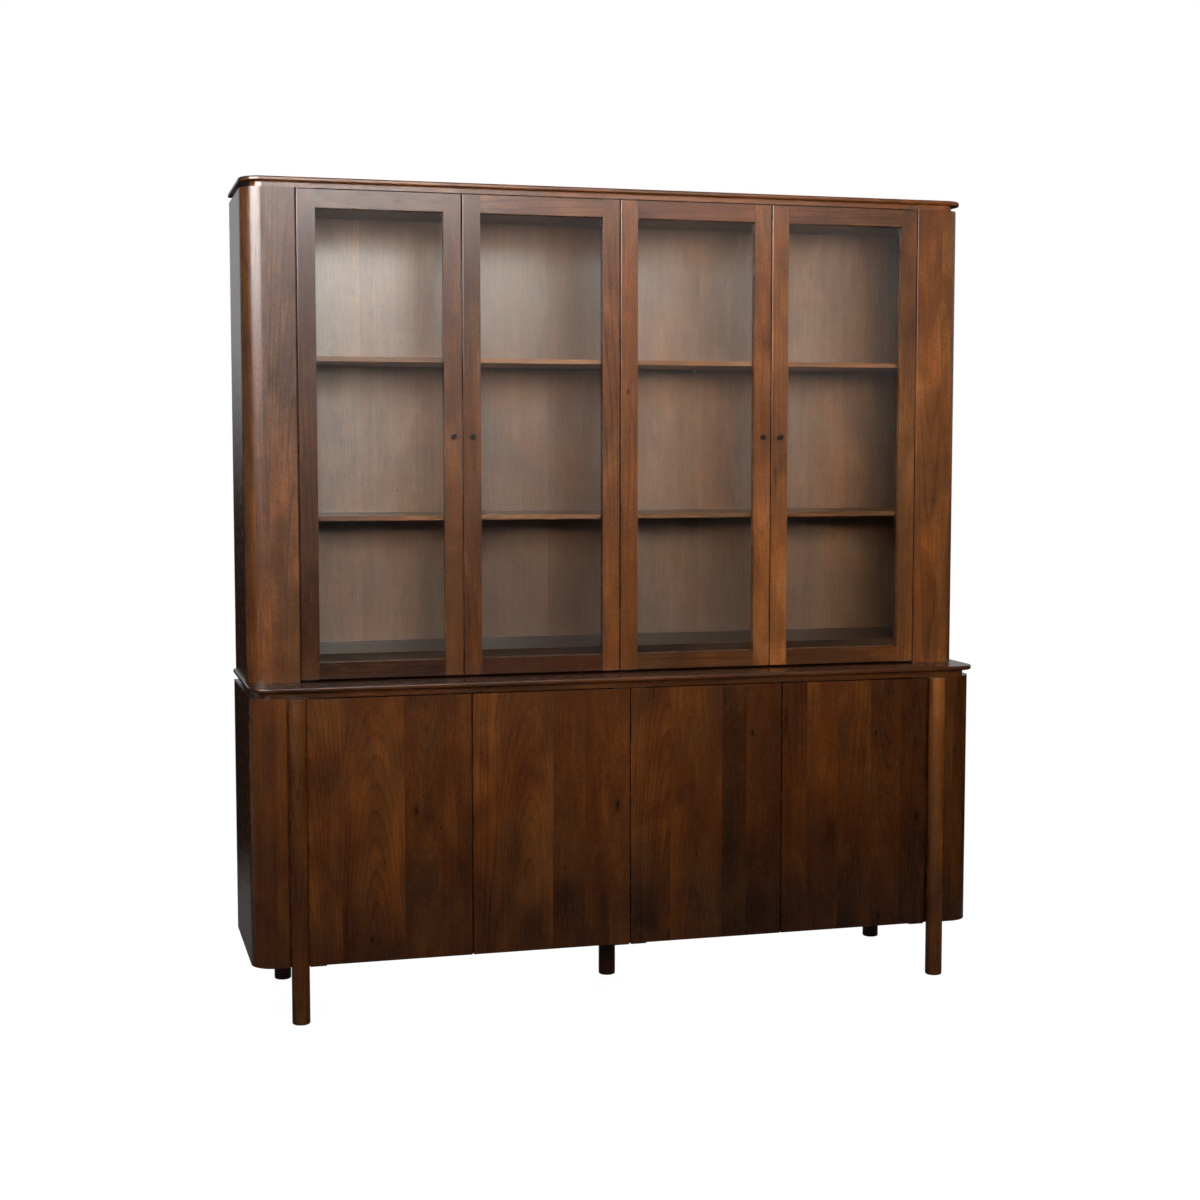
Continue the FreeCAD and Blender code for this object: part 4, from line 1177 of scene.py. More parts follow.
@dataclass
class BaseDoors:
    """The four plain doors of the base, each glued up from upright planks."""

    material: bpy.types.Material
    worn: float = 1.25
    layouts: tuple[tuple[Plank, ...], ...] = (
        (
            Plank(0, 86, Heart(-40, 60, 90), 1.15, 0.4, cloud=Mark(-6, 200, 42)),
            Plank(86, 248, Heart(6, 96, 120), 1.04, 0.6, Mark(-6, 630, 7), Mark(55, 668, 30)),
            Plank(248, 335, Heart(9, 22, -130), 0.78, 0.4, Mark(-14, 298, 11), Mark(0, 330, 26)),
            Plank(335, 426, Heart(60, 90, 20), 0.72, 0.75),
        ),
        (
            Plank(0, 70, Heart(45, 80, 30), 1.02, 0.7),
            Plank(70, 214, Heart(0, 78, 140), 0.98, 0.5, cloud=Mark(16, 600, 34)),
            Plank(214, 302, Heart(-20, 40, 60), 0.7, 0.4, cloud=Mark(-20, 560, 30)),
            Plank(302, 368, Heart(30, 70, -30), 0.68, 0.9),
            Plank(368, 426, Heart(-6, 26, -110), 0.82, 0.4, knot=Mark(-6, 312, 13)),
        ),
        (
            Plank(0, 110, Heart(50, 70, 100), 0.78, 0.6, cloud=Mark(-20, 610, 40)),
            Plank(110, 256, Heart(-10, 70, 50), 0.8, 0.5, cloud=Mark(-44, 300, 16)),
            Plank(256, 325, Heart(-30, 50, 10), 0.41, 0.3),
            Plank(325, 426, Heart(0, 50, 70), 0.53, 0.6, Mark(-34, 132, 9), Mark(-10, 620, 30)),
        ),
        (
            Plank(0, 72, Heart(-30, 60, 40), 0.58, 0.75),
            Plank(72, 164, Heart(10, 36, 60), 0.74, 0.7, cloud=Mark(30, 420, 30)),
            Plank(164, 259, Heart(-30, 50, -60), 0.62, 0.45, cloud=Mark(-18, 680, 40)),
            Plank(259, 349, Heart(9, 18, -120), 0.6, 0.7, knot=Mark(-18, 660, 9)),
            Plank(349, 426, Heart(10, 50, 60), 0.52, 0.4, knot=Mark(12, 385, 12)),
        ),
    )

    def build(self) -> None:
        """Make the four doors."""
        for number, planks in enumerate(self.layouts, 1):
            name = f"base_door_{number}"
            glue_up(Timber(name, name), planks, number * 2.1, self.material, self.worn)


@dataclass
class HutchDoors:
    """The four glazed doors of the hutch: stiles and rails, panes, beads and knobs.

    Widths are in millimetres. joint_tone is the tone of the dark line where a rail meets a stile.
    """

    wood: bpy.types.Material
    glass: bpy.types.Material
    knob: bpy.types.Material
    stile: float = 47.0
    rail_low: float = 42.0
    rail_high: float = 46.0
    joint_tone: float = 0.35
    worn: float = 1.1
    knots: dict[int, Mark] = field(default_factory=lambda: {3: Mark(-3, 505, 6)})
    clouds: dict[int, Mark] = field(default_factory=lambda: {1: Mark(0, 1010, 190)})
    tones: tuple[tuple[float, float, float, float], ...] = (
        (0.7, 0.96, 0.86, 0.28),
        (0.72, 1.06, 0.9, 0.4),
        (0.94, 1.04, 0.84, 0.46),
        (1.44, 0.88, 0.76, 0.5),
    )

    def build(self) -> None:
        """Make the four frames and dress the panes and knobs."""
        for number, tones in enumerate(self.tones, 1):
            name = f"hutch_door_{number}"
            low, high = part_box(name + "_frame")
            members = self._members(number, tones, low, high)
            timber = Timber(name + "_frame", name)
            edges = (members.stile, members.stile + members.seam)
            timber.saw(0, [low[0] + edge for edge in edges] + [high[0] - edge for edge in edges])
            timber.build(members, self.wood, self.worn)
            dress_nodes([name + "_glass"], self.glass)
            dress_nodes([name + "_knob"], self.knob)

    def _members(
        self, number: int, tones: tuple[float, float, float, float], low: Point, high: Point
    ) -> FrameChooser:
        """Choose the wood of one door's stiles and rails.

        Args:
            number: The door's number.
            tones: The tones of its left and right stile, its top and its bottom rail.
            low: The frame's low corner.
            high: The frame's high corner.

        Returns:
            The members.
        """
        width, height = (high[0] - low[0]) / MM, (high[2] - low[2]) / MM
        chance = random.Random(number)
        hearts = [random_heart(chance, 60, (20, 90), 50) for _ in tones]
        spans = (
            (0.0, self.stile),
            (width - self.stile, width),
            (height - self.rail_high, height),
            (0.0, self.rail_low),
        )
        left, right, upper, lower = (
            Plank(*span, heart, tone, chance.random())
            for span, heart, tone in zip(spans, hearts, tones)
        )
        knot, cloud = self.knots.get(number, NO_MARK), self.clouds.get(number, NO_MARK)
        left = replace(left, knot=knot, cloud=cloud)
        joint = Plank(0.0, self.rail_low, tone=self.joint_tone)
        rows = (
            (Run.UPRIGHT_FACING, left, 0.0),
            (Run.UPRIGHT_FACING, right, 0.5),
            (Run.LEVEL_FACING, upper, 1.0),
            (Run.LEVEL_FACING, lower, 1.5),
            (Run.LEVEL_FACING, joint, 0.0),
        )
        seed = 11.0 + number * 1.9
        members = (
            PlankChooser.within(run, low, high, (plank,), seed + more) for run, plank, more in rows
        )
        return FrameChooser(self.stile * MM, low, high, *members)


@dataclass
class Corners:
    """The rounded front corners of both cases, glued from staves, and the two round front posts.

    staves holds where the staves start and end, in millimetres, and levels the tone of each piece.
    """

    pale: bpy.types.Material
    deep: bpy.types.Material
    staves: dict[str, tuple[float, ...]] = field(
        default_factory=lambda: {
            "hutch_corner_left": (0, 27, 62, 153),
            "hutch_corner_right": (0, 92, 128, 153),
            "base_corner_left": (0, 30, 62, 158),
            "base_corner_right": (0, 96, 130, 158),
            "front_post_left": (0, 46),
            "front_post_right": (0, 46),
        }
    )
    levels: tuple[float, ...] = (1.02, 1.1, 1.02, 0.66, 1.3, 1.52)

    def build(self) -> None:
        """Make the corners and the posts."""
        for number, (name, edges) in enumerate(self.staves.items(), 1):
            chance = random.Random(40 + number)
            level = self.levels[number - 1]
            planks = tuple(
                Plank(
                    start,
                    end,
                    random_heart(chance, 50, (25, 80), 60),
                    chance.uniform(0.92, 1.12) * level,
                    chance.random(),
                )
                for start, end in zip(edges, edges[1:])
            )
            material = self.pale if name.startswith("hutch") else self.deep
            glue_up(Timber(name, "case"), planks, 30 + number * 1.3, material)


@dataclass(frozen=True)
class BoardKind:
    """Boards that are cut alike: their stain, their grain, their planks' width and their tones.

    Each board's seed is one more than the last one's, from first on, and its planks are moved by
    step millimetres for each seed, beyond start.
    """

    finish: WoodFinish
    run: Run
    plank: float
    step: float
    first: int
    tones: dict[str, float]
    start: float = 0.0
    behind: float = 55.0


@dataclass
class Case:
    """The fixed boards and legs that keep the frame's own shapes."""

    kinds: tuple[BoardKind, ...] = (
        BoardKind(
            DEEP_STAIN_AND_SHADE,
            Run.LEVEL_FLAT,
            92.0,
            30.0,
            1,
            # painted shade: the base top board and the recessed sub-top band get low tones for
            # their shade
            {"base_top_board": 0.45, "base_sub_top": 0.6},
        ),
        BoardKind(
            STAINED,
            Run.LEVEL_FLAT,
            92.0,
            30.0,
            3,
            {"hutch_top_board": 1.0, "hutch_sub_top": 1.0},
        ),
        BoardKind(
            DEEP_STAIN_AND_SHADE,
            Run.UPRIGHT_SIDE,
            104.0,
            20.0,
            5,
            {"base_side_left": 1.0, "base_side_right": 1.0},
        ),
        BoardKind(
            STAINED,
            Run.UPRIGHT_SIDE,
            104.0,
            20.0,
            7,
            {"hutch_side_left": 1.0, "hutch_side_right": 1.0},
        ),
        BoardKind(
            DEEP_STAIN_AND_SHADE,
            Run.UPRIGHT_FACING,
            400.0,
            9.0,
            9,
            # painted shade: the legs get a low tone for the shadow under the case
            {"rear_leg_left": 0.42, "rear_leg_right": 0.42, "centre_leg": 0.42},
            start=200.0,
            behind=30.0,
        ),
        BoardKind(
            INNER,
            Run.LEVEL_FLAT,
            88.0,
            14.0,
            16,
            {
                "base_bottom_panel": 1.0,
                "base_shelf_left": 1.0,
                "base_shelf_right": 1.0,
                # painted shade: the hutch floor is darkened for the shade it lies in
                "hutch_floor": 0.3,
                "hutch_ceiling": 1.0,
                # painted highlight: the shelves are lightened, the upper one most, for the sheen on
                # their front edges
                "hutch_shelf_lower": 1.3,
                "hutch_shelf_upper": 2.0,
            },
        ),
        BoardKind(INNER, Run.UPRIGHT_SIDE, 110.0, 0.0, 24, {"base_centre_divider": 1.0}),
        BoardKind(INNER, Run.LEVEL_FACING, 110.0, 0.0, 25, {"hutch_inner_frame": 1.0}),
    )

    def dress(self) -> None:
        """Give every board a finish with its own grain."""
        for kind in self.kinds:
            for seed, (name, tone) in enumerate(kind.tones.items(), kind.first):
                shift = kind.start + kind.step * seed
                grain = PlacedGrain(kind.run, kind.plank, shift, float(seed), kind.behind, tone)
                dress_nodes([name], kind.finish.material(name + "_wood", grain))


@dataclass
class Backs:
    """The back panels: where each leaf of their veneer ends, its tone and its warmth.

    drift is how much nearer the heart of the tree comes to a leaf, in millimetres a metre.
    """

    material: bpy.types.Material
    drift: float = 45.0
    leaves: dict[str, tuple[tuple[float, float, float], ...]] = field(
        default_factory=lambda: {
            "hutch_back_panel": (
                (330, 1.12, 0.3),
                (640, 0.94, 0.5),
                (860, 0.62, 0.6),
                (1045, 0.5, 1.0),
                (1310, 0.72, 0.1),
                (1545, 0.78, 0.2),
                (2000, 0.84, 0.2),
            ),
            "base_back_panel": tuple((240.0 * count, 0.9, 0.5) for count in range(1, 10)),
        }
    )

    def build(self) -> None:
        """Make both panels."""
        for number, (name, leaves) in enumerate(self.leaves.items()):
            chance = random.Random(70 + number)
            starts = (0.0,) + tuple(end for end, _, _ in leaves)
            planks = tuple(
                Plank(
                    start,
                    end,
                    Heart(chance.uniform(-90, 90), chance.uniform(40, 120), self.drift),
                    tone,
                    warmth,
                )
                for start, (end, tone, warmth) in zip(starts, leaves)
            )
            glue_up(Timber(name, "case", "back_veneer"), planks, 50.0 + number, self.material)


LEAST_HEAD = 1.5 * MM


@dataclass(frozen=True)
class Rod:
    """A loose round part of a node, in metres: where it ends, its head's aim, and its widths."""

    face: Point
    aim: Point
    length: float
    face_width: float
    base_width: float
    head: float
    shank: float

    @property
    def size(self) -> tuple[int, ...]:
        """Return the sizes in whole hairs, by which equal rods are grouped."""
        parts = (self.length, self.face_width, self.base_width, self.head, self.shank)
        return tuple(round(part * HAIRS) for part in parts)


def loose_rods(node: str) -> list[Rod]:
    """Measure a node's loose round parts.

    Args:
        node: The frame node.

    Returns:
        One rod for each loose part.
    """
    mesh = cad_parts[node].data
    owner: dict[tuple[int, ...], tuple[int, ...]] = {}

    def root(key: tuple[int, ...]) -> tuple[int, ...]:
        """Find the corner that stands for a corner's whole part.

        Args:
            key: The corner.

        Returns:
            The part's own corner.
        """
        while owner[key] != key:
            owner[key] = owner[owner[key]]
            key = owner[key]
        return key

    keys = [merge_key(vertex.co) for vertex in mesh.vertices]
    for key in keys:
        owner.setdefault(key, key)
    for polygon in mesh.polygons:
        first, *others = (keys[index] for index in polygon.vertices)
        for other in others:
            owner[root(other)] = root(first)
    parts: dict[tuple[int, ...], list[Vector]] = {}
    for key in owner:
        parts.setdefault(root(key), []).append(Vector(key) * MICRON)
    return [measured_rod(points) for _, points in sorted(parts.items())]


def measured_rod(points: list[Vector]) -> Rod:
    """Work out a rod's ends and widths from the points of its skin.

    Args:
        points: The points, in metres.

    Returns:
        The rod, whose head is its wider end.
    """
    low = [min(point[axis] for point in points) for axis in range(3)]
    high = [max(point[axis] for point in points) for axis in range(3)]
    spans = [b - a for a, b in zip(low, high)]
    axis = spans.index(max(spans))
    middle = Vector(((a + b) / 2 for a, b in zip(low, high)))
    widths: dict[float, float] = {}
    for point in points:
        away = point - middle
        level = round(away[axis], 5)
        away[axis] = 0.0
        widths[level] = max(widths.get(level, 0.0), 2 * away.length)
    levels = sorted(widths)
    if widths[levels[0]] > widths[levels[-1]] + HAIR:
        levels.reverse()
    shank, top = widths[levels[0]], levels[-1]
    wide = [level for level in levels if widths[level] > shank + HAIR]
    base = max(wide, key=lambda level: abs(level - top)) if wide else top
    aim = [0.0, 0.0, 0.0]
    aim[axis] = math.copysign(1.0, top)
    face = list(middle)
    face[axis] += top
    head = max(abs(top - base), LEAST_HEAD)
    return Rod(tuple(face), tuple(aim), spans[axis], widths[top], widths[base], head, shank)


class PointTree:
    """A Geometry Nodes tree that sets one turned part on each point that it is given."""

    def __init__(
        self, name: str, material: bpy.types.Material, sizes: tuple[str, ...], seed: int
    ) -> None:
        """Open the tree and its named inputs.

        Args:
            name: The tree's name.
            material: What the parts are made of.
            sizes: Names of the size inputs, all in metres.
            seed: Seed of the parts' turn about their own axes.
        """
        self.tree = bpy.data.node_groups.new(name, "GeometryNodeTree")
        self.bench = NodeBench(self.tree)
        self.material = material
        self.seed = seed
        self._open("Points", "INPUT", "Geometry")
        self.names = {size: self._open(size, "INPUT", "Float") for size in sizes}
        self._open("Parts", "OUTPUT", "Geometry")
        self.inputs = self.bench.add("NodeGroupInput").outputs

    def _open(self, name: str, way: str, kind: str) -> str:
        """Open a socket of the tree and return its identifier."""
        face = self.tree.interface
        return face.new_socket(name, in_out=way, socket_type="NodeSocket" + kind).identifier

    def solid(self, kind: str, height: Feed = 0.0, **sizes: Feed) -> Socket:
        """Add a mesh primitive and move it along the part's axis.

        Args:
            kind: The kind of primitive.
            height: How far it is moved.
            **sizes: The node's inputs, with spaces written as underscores.

        Returns:
            The moved mesh.
        """
        feeds = {name.replace("_", " "): value for name, value in sizes.items()}
        node = self.bench.add_named("GeometryNodeMesh" + kind, feeds)
        feeds = {"Geometry": node.outputs["Mesh"], "Translation": self._up(height)}
        return self.bench.add_named("GeometryNodeTransform", feeds).outputs["Geometry"]

    def _up(self, height: Feed) -> Socket:
        """Return a vector along the part's axis."""
        return self.bench.join(0.0, 0.0, height)

    def together(self, *parts: Socket) -> Socket:
        """Join meshes into one.

        Args:
            *parts: The meshes.

        Returns:
            The joined mesh.
        """
        node = self.bench.add("GeometryNodeJoinGeometry")
        for part in parts:
            self.bench.feed(node.inputs[0], part)
        return node.outputs[0]

    def close(self, part: Socket) -> None:
        """Set the part on every point, turned to the point's aim, and finish the tree.

        Args:
            part: One part, with its face at the origin and its foot below.
        """
        bench = self.bench
        turn = bench.add("GeometryNodeInputNamedAttribute", "turn", data_type="FLOAT_VECTOR")
        aimed = bench.add("FunctionNodeEulerToRotation", turn.outputs["Attribute"]).outputs[0]
        feeds = {"Points": self.inputs["Points"], "Instance": part, "Rotation": aimed}
        spread = bench.add_named("GeometryNodeInstanceOnPoints", feeds).outputs[0]
        chance = bench.add("FunctionNodeRandomValue", data_type="FLOAT")
        numbers = [socket for socket in chance.inputs if socket.enabled and socket.type == "VALUE"]
        numbers[0].default_value, numbers[1].default_value = 0.0, math.tau
        bench.feed(chance.inputs["Seed"], self.seed)
        value = next(socket for socket in chance.outputs if socket.enabled)
        feeds = {"Instances": spread, "Rotation": self._up(value)}
        spun = bench.add_named("GeometryNodeRotateInstances", feeds).outputs[0]
        real = bench.add("GeometryNodeRealizeInstances", spun).outputs[0]
        feeds = {"Geometry": real, "Material": self.material}
        bench.add("NodeGroupOutput", bench.add_named("GeometryNodeSetMaterial", feeds).outputs[0])

    def baked(self, rods: list[Rod], sizes: dict[str, float]) -> bpy.types.Mesh:
        """Run the tree for rods of one size.

        Args:
            rods: Where the parts go.
            sizes: A number for each size input.

        Returns:
            The finished mesh.
        """
        mesh = new_mesh("points", [rod.face for rod in rods], [])
        aims = [Vector(rod.aim).to_track_quat("Z", "Y").to_euler() for rod in rods]
        turns = [part for aim in aims for part in aim]
        mesh.attributes.new("turn", "FLOAT_VECTOR", "POINT").data.foreach_set("vector", turns)
        holder = put_in_scene("points", mesh)
        modifier = holder.modifiers.new("parts", "NODES")
        modifier.node_group = self.tree
        for name, value in sizes.items():
            modifier[self.names[name]] = value
        ready = holder.evaluated_get(bpy.context.evaluated_depsgraph_get())
        result = bpy.data.meshes.new_from_object(ready)
        bpy.data.objects.remove(holder)
        return result


class ScrewTree(PointTree):
    """Cross-headed screws and bolts with a turned thread.

    The recess is given in face widths and head heights, the stem and the thread in shank widths.
    """

    HEAD_SIDES = 28
    STEM_SIDES = 14
    RECESS_LENGTH = 0.56
    RECESS_WIDTH = 0.13
    RECESS_DEPTH = 1.3
    CORE = 0.8
    PITCH = 0.4
    RIDGE = 0.7

    def __init__(self, material: bpy.types.Material) -> None:
        """Build the tree.

        Args:
            material: What the screws are made of.
        """
        names = ("Face Width", "Base Width", "Head Height", "Shank Width", "Length")
        super().__init__("screws", material, names, 4)
        bench, size = self.bench, self.inputs
        face, base, head, width, length = (size[name] for name in names)
        shank = bench.times(width, 0.5)
        below = bench.times(head, -1.0)
        rest = bench.minus(length, head)
        blank = self.solid(
            "Cone",
            below,
            Vertices=self.HEAD_SIDES,
            Radius_Top=bench.times(face, 0.5),
            Radius_Bottom=bench.times(base, 0.5),
            Depth=head,
        )
        wing, slim = bench.times(face, self.RECESS_LENGTH), bench.times(face, self.RECESS_WIDTH)
        deep = bench.times(head, self.RECESS_DEPTH)
        cut = bench.add_named("GeometryNodeMeshBoolean", {"Mesh 1": blank}, operation="DIFFERENCE")
        for sides in ((wing, slim), (slim, wing)):
            bench.feed(cut.inputs["Mesh 2"], self.solid("Cube", Size=bench.join(*sides, deep)))
        core = bench.times(shank, self.CORE)
        middle = bench.minus(below, bench.times(rest, 0.5))
        stem = self.solid("Cylinder", middle, Vertices=self.STEM_SIDES, Radius=core, Depth=rest)
        pitch = bench.times(width, self.PITCH)
        feeds = {
            "Count": bench.maths("FLOOR", bench.maths("DIVIDE", rest, pitch)),
            "Start Location": self._up(bench.times(length, -1.0)),
            "Offset": self._up(pitch),
        }
        line = bench.add_named("GeometryNodeMeshLine", feeds).outputs[0]
        ridge = self.solid(
            "Cone",
            Vertices=self.STEM_SIDES,
            Radius_Top=shank,
            Radius_Bottom=core,
            Depth=bench.times(pitch, self.RIDGE),
        )
        feeds = {"Points": line, "Instance": ridge}
        thread = bench.add_named("GeometryNodeInstanceOnPoints", feeds)
        self.close(self.together(cut.outputs[0], stem, thread.outputs[0]))


class PinTree(PointTree):
    """Plain shelf pins with chamfered ends and a ring at the middle."""

    SIDES = 32
    BODY = 0.94

    def __init__(self, material: bpy.types.Material) -> None:
        """Build the tree.

        Args:
            material: What the pins are made of.
        """
        super().__init__("pins", material, ("Width", "Length", "Chamfer"), 9)
        bench, size = self.bench, self.inputs
        radius, chamfer = bench.times(size["Width"], 0.5), size["Chamfer"]
        slim = bench.times(radius, self.BODY)
        tip = bench.minus(slim, chamfer)
        rest = bench.minus(size["Length"], bench.times(chamfer, 2.0))
        half = bench.times(size["Length"], -0.5)
        start, end = bench.times(chamfer, -1.0), bench.times(size["Length"], -1.0)
        parts: tuple[tuple[str, Socket, dict[str, Feed]], ...] = (
            ("Cone", start, {"Radius_Top": tip, "Radius_Bottom": slim, "Depth": chamfer}),
            ("Cylinder", half, {"Radius": slim, "Depth": rest}),
            ("Cylinder", half, {"Radius": radius, "Depth": chamfer}),
            ("Cone", end, {"Radius_Top": slim, "Radius_Bottom": tip, "Depth": chamfer}),
        )
        solids = (
            self.solid(kind, height, Vertices=self.SIDES, **sizes) for kind, height, sizes in parts
        )
        self.close(self.together(*solids))


@dataclass
class Hardware:
    """Pivots, latches, catches, pins and screws. dish narrows the face of a straight-sided head."""

    dish: float = 0.72
    pin_chamfer: float = 0.6 * MM

    def build(self) -> None:
        """Set the repeated parts on their places and give the other hardware its finishes."""
        zinc = MetalFinish("zinced_steel", shade(150, 150, 152), shade(176, 172, 160), 0.34)
        burnt = MetalFinish("burnished_steel", shade(34, 31, 29), shade(58, 53, 48), 0.4)
        steel = zinc.material()
        plastic = PlasticFinish("moulded_plastic", shade(38, 34, 31)).material()
        dark = burnt.material()
        self._set_screws(ScrewTree(steel))
        self._set_pins(PinTree(dark))
        doors = range(1, 5)
        fittings = [f"{case}_door_{door}_fittings" for case in ("base", "hutch") for door in doors]
        dress_nodes(["door_pivots"] + fittings, dark)
        dress_nodes(["door_catches"] + [f"latch_plunger_{door}" for door in doors], plastic)

    def _set_screws(self, tree: ScrewTree) -> None:
        """Make the case's screws, bolts and studs, size by size.

        Args:
            tree: The tree that makes them.
        """
        groups: dict[tuple[int, ...], list[Rod]] = {}
        for rod in loose_rods("case_fasteners"):
            groups.setdefault(rod.size, []).append(rod)
        meshes = []
        for rods in groups.values():
            rod = rods[0]
            straight = rod.face_width == rod.base_width > rod.shank + HAIR
            sizes = {
                "Face Width": rod.face_width * (self.dish if straight else 1.0),
                "Base Width": rod.base_width,
                "Head Height": rod.head,
                "Shank Width": rod.shank,
                "Length": rod.length,
            }
            meshes.append(tree.baked(rods, sizes))
        self._keep("case_fasteners", meshes)

    def _set_pins(self, tree: PinTree) -> None:
        """Make the shelf pins.

        Args:
            tree: The tree that makes them.
        """
        rods = loose_rods("shelf_pins")
        sizes = {"Width": rods[0].shank, "Length": rods[0].length, "Chamfer": self.pin_chamfer}
        self._keep("shelf_pins", [tree.baked(rods, sizes)])

    def _keep(self, node: str, meshes: list[bpy.types.Mesh]) -> None:
        """Put baked meshes together as one piece that stands for a frame node.

        Args:
            node: The frame node.
            meshes: The meshes, which share one material.
        """
        points: list[Point] = []
        faces: list[list[int]] = []
        for mesh in meshes:
            start = len(points)
            points.extend(tuple(vertex.co) for vertex in mesh.vertices)
            faces.extend([start + index for index in polygon.vertices] for polygon in mesh.polygons)
        piece = put_in_scene(node + "_set", new_mesh(node + "_set", points, faces))
        dress(piece, meshes[0].materials[0])
        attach(piece, "case")
        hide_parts(node)
        LOG.info("%s: %d faces in %d sizes", piece.name, len(faces), len(meshes))


# ---------------------------------------------------------------- set


@dataclass(frozen=True)
class Lamp:
    """A soft lamp: where it hangs and aims, its width and height, its power and its spread.

    Lengths are in metres, the power in watts and the spread in degrees. A polish lamp only shows in
    polished surfaces. Any other only lights plain ones.
    """

    name: str
    place: Point
    target: Point
    width: float
    height: float
    power: float
    spread: float = 160.0
    polish: bool = False

    def hang(self) -> None:
        """Hang the lamp."""
        data = bpy.data.lights.new(self.name, "AREA")
        data.shape = "RECTANGLE"
        data.size, data.size_y = self.width, self.height
        data.energy = self.power
        data.spread = math.radians(self.spread)
        lamp = put_in_scene(self.name, data)
        lamp.location = self.place
        aim = Vector(self.target) - Vector(self.place)
        lamp.rotation_euler = aim.to_track_quat("-Z", "Y").to_euler()
        lamp.visible_camera = False
        lamp.visible_glossy = self.polish
        lamp.visible_diffuse = not self.polish


LAMPS = (
    Lamp("front_box", (-0.3, -4.4, 2.15), (0.1, 0.0, 1.92), 3.8, 0.9, 50.0, 60.0),
    Lamp("rear_fill", (0.4, 4.4, 2.4), (0.0, 0.2, 1.1), 3.0, 2.0, 90.0),
    Lamp("side_fill", (3.4, 4.0, 2.2), (0.9, 0.1, 1.1), 2.4, 1.8, 70.0),
    Lamp("top_fill", (0.0, 0.2, 5.2), (0.0, 0.0, 0.0), 3.0, 2.0, 30.0),
    Lamp("polish_front", (-0.55, -4.4, 3.25), (-0.4, 0.0, 2.0), 2.1, 1.2, 150.0, polish=True),
    Lamp("polish_right", (1.4, -4.4, 3.3), (0.4, 0.0, 2.0), 1.8, 1.1, 34.0, polish=True),
    Lamp("polish_left", (-4.3, -3.6, 3.0), (-0.9, -0.1, 1.8), 4.4, 1.3, 850.0, polish=True),
)

Levels = tuple[tuple[float, float], ...]


@dataclass(frozen=True)
class Surroundings:
    """A white backdrop that polish sees as a dim room and plain surfaces as even light.

    The levels around are brightnesses by bearing, in degrees from the front. Those upwards go by
    height, from 0 well below the horizon to 1 well above it.
    """

    room_around: Levels = (
        (-180, 0.66),
        (-162, 0.62),
        (-150, 0.1),
        (-75, 0.1),
        (-50, 0.5),
        (180, 0.55),
    )
    room_upwards: Levels = (
        (0.4, 0.01),
        (0.47, 0.02),
        (0.5, 0.24),
        (0.55, 0.8),
        (0.6, 0.95),
        (0.75, 0.8),
        (1.0, 0.3),
    )
    glint_around: Levels = ((-180, 0), (-145, 0), (-128, 0.2), (-108, 0.2), (-90, 0), (180, 0))
    light_around: Levels = ((-180, 0), (-50, 0), (-20, 0.9), (45, 1), (75, 0.1), (100, 0), (180, 0))

    def build(self) -> None:
        """Make the world."""
        world = bpy.data.worlds.new("surroundings")
        world.use_nodes = True
        bpy.context.scene.world = world
        bench = NodeBench(world.node_tree)
        rays = bench.add("ShaderNodeLightPath")
        x, y, z = bench.split(bench.add("ShaderNodeTexCoord").outputs["Generated"])
        bearing = bench.maths("ARCTAN2", x, bench.times(y, -1.0))
        around = bench.maths("MULTIPLY_ADD", bearing, 1 / math.tau, 0.5)
        room = self._by_angle(bench, around, self.room_around)
        room = bench.times(room, bench.ramp(bench.plus(z, 0.5), list(self.room_upwards)))
        polish = bench.plus(room, self._by_angle(bench, around, self.glint_around))
        front = self._by_angle(bench, around, self.light_around)
        front = bench.times(front, bench.ease(z, -0.45, 0.35, 0.02, 0.38))
        even = bench.plus(front, bench.ease(z, -0.6, 0.8, 0.02, 0.18))
        level = bench.mixed(rays.outputs["Is Glossy Ray"], even, polish)
        level = bench.mixed(bench.looked_at(rays), level, (1.0, 1.0, 1.0))
        bench.finish_with(bench.add("ShaderNodeBackground", level).outputs[0])

    def _by_angle(self, bench: NodeBench, around: Socket, levels: Levels) -> Socket:
        """Give a brightness for each bearing around the set.

        Args:
            bench: Where the nodes go.
            around: The bearing, from 0 to 1 for a full turn that starts behind.
            levels: Bearings in degrees from the front, each with a brightness.

        Returns:
            The brightness.
        """
        return bench.ramp(around, [((angle + 180) / 360, level) for angle, level in levels])


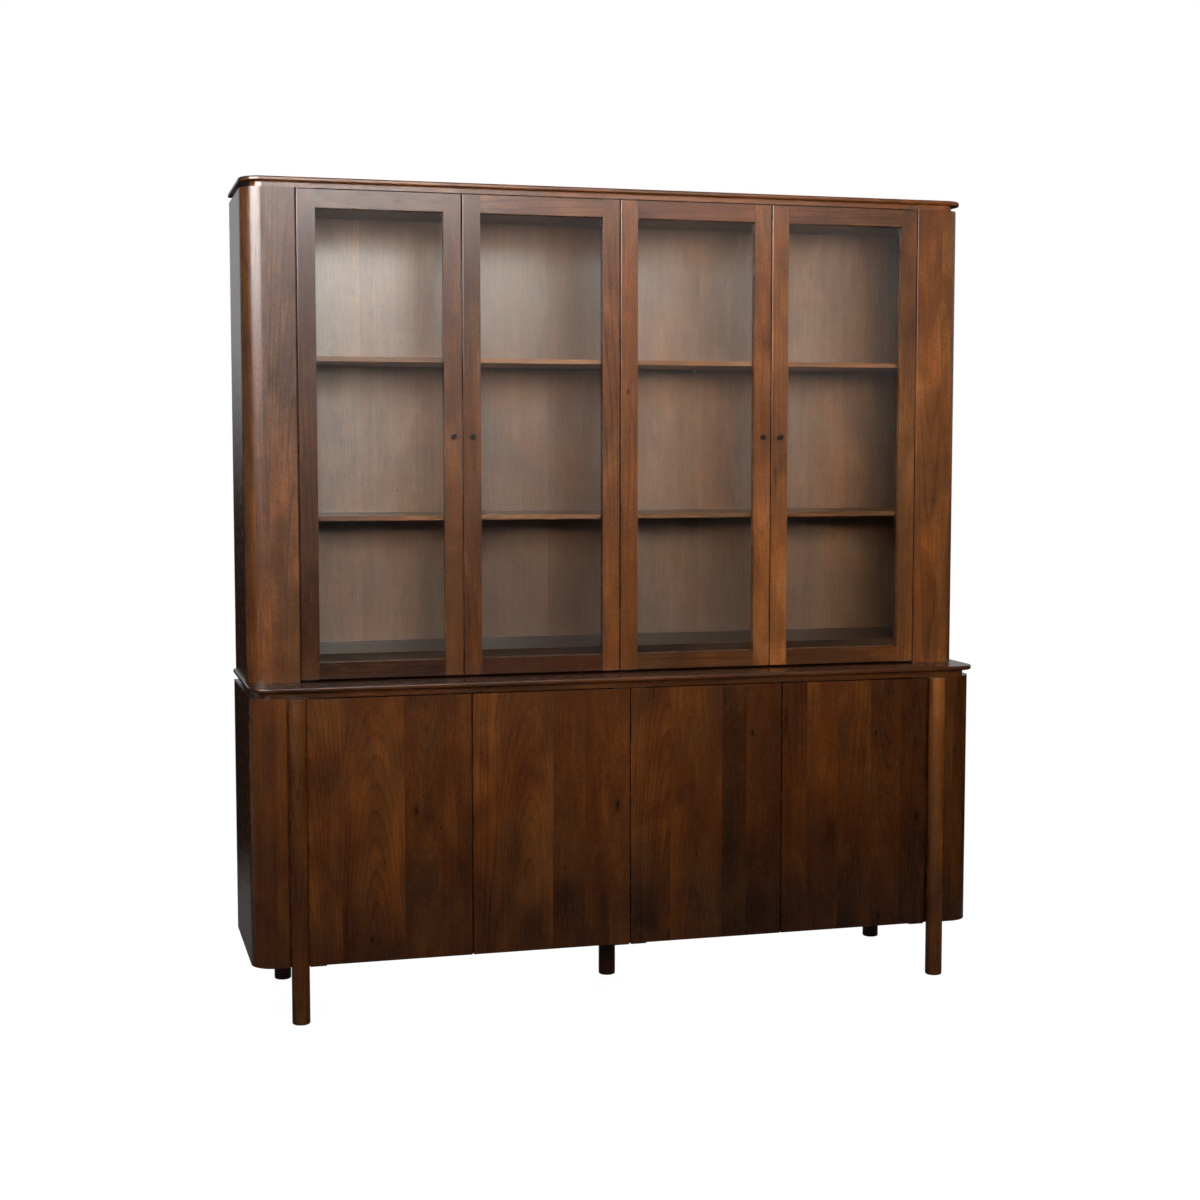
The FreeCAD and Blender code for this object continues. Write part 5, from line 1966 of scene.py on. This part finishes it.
@dataclass
class Studio:
    """The floor, the lamps, the surroundings and the camera. Lengths are in metres.

    floor_seen is how bright the floor looks, and floor_in_polish how bright it is to a polished
    surface. The lens is in millimetres, and the camera's turn and dip in degrees.
    """

    floor_reach: float = 2.6
    floor_level: float = -0.0002
    floor_rings: int = 12
    floor_spokes: int = 96
    floor_paint: Colour = (0.12, 0.12, 0.12)
    floor_seen: float = 0.965
    floor_in_polish: float = 0.02
    camera_place: Point = (-1.42299, -5.06386, 1.46713)
    camera_turn: float = 15.431
    camera_dip: float = 4.531
    lens: float = 57.57

    def build(self) -> None:
        """Set the floor, the light and the camera."""
        bpy.context.scene.view_settings.view_transform = "Standard"
        self._floor()
        Surroundings().build()
        for lamp in LAMPS:
            lamp.hang()
        self._camera()

    def _camera(self) -> None:
        """Place the camera."""
        data = bpy.data.cameras.new("view")
        data.lens = self.lens
        camera = put_in_scene("view", data)
        camera.location = self.camera_place
        turn, rise = math.radians(-self.camera_turn), math.radians(90 - self.camera_dip)
        camera.rotation_euler = (rise, 0.0, turn)
        bpy.context.scene.camera = camera

    def _floor(self) -> None:
        """Lay a round pale floor that keeps the shadow and fades into the backdrop."""
        spokes = self.floor_spokes
        points = [(0.0, 0.0, self.floor_level)]
        for ring in range(1, self.floor_rings + 1):
            reach = self.floor_reach * ring / self.floor_rings
            for spoke in range(spokes):
                angle = math.tau * spoke / spokes
                points.append((reach * math.cos(angle), reach * math.sin(angle), self.floor_level))
        faces: list[tuple[int, ...]] = []
        for spoke in range(spokes):
            faces.append((0, 1 + spoke, 1 + (spoke + 1) % spokes))
        for ring in range(self.floor_rings - 1):
            inner, outer = 1 + ring * spokes, 1 + (ring + 1) * spokes
            for spoke in range(spokes):
                after = (spoke + 1) % spokes
                faces.append((inner + spoke, outer + spoke, outer + after, inner + after))
        floor = put_in_scene("floor", new_mesh("floor", points, faces))
        dress(floor, self._floor_finish())

    def _floor_finish(self) -> bpy.types.Material:
        """Build the floor's matt paint.

        Returns:
            The material.
        """
        material, bench = new_bench("pale_floor")
        rays = bench.add("ShaderNodeLightPath")
        paint = bench.add("ShaderNodeBsdfDiffuse", self.floor_paint).outputs[0]
        dull = bench.times(rays.outputs["Is Glossy Ray"], self.floor_in_polish)
        strength = bench.maths("MULTIPLY_ADD", bench.looked_at(rays), self.floor_seen, dull)
        glow = bench.add_named("ShaderNodeEmission", {"Strength": strength}).outputs[0]
        lit = bench.add("ShaderNodeAddShader", paint, glow).outputs[0]
        away = bench.add("ShaderNodeVectorMath", bench.place(), operation="LENGTH")
        edge = bench.ease(away.outputs["Value"], self.floor_reach * 0.55, self.floor_reach * 0.98)
        clear = bench.add("ShaderNodeBsdfTransparent").outputs[0]
        bench.finish_with(bench.mixed_shaders(edge, lit, clear))
        return material


def main() -> None:
    """Build the dresser's looks in order, and the set around it."""
    logging.basicConfig(level=logging.INFO, format="%(name)s %(message)s")
    marked = STAINED.material("stained_planks", MarkedGrain())
    glass = GlassFinish().material()
    black = MetalFinish("blackened_knob", shade(20, 16, 14), shade(34, 28, 24), 0.5, 0.0, 0.1)
    deep = DEEP_STAIN_AND_SHADE.material("deep_stain_and_shade_planks", MarkedGrain())
    BaseDoors(deep).build()
    HutchDoors(marked, glass, black.material()).build()
    Corners(CORNER.material("corner_staves", MarkedGrain()), deep).build()
    Backs(VENEER.material("back_leaves", MarkedGrain())).build()
    Case().dress()
    Hardware().build()
    Studio().build()


if __name__ == "__main__":
    main()
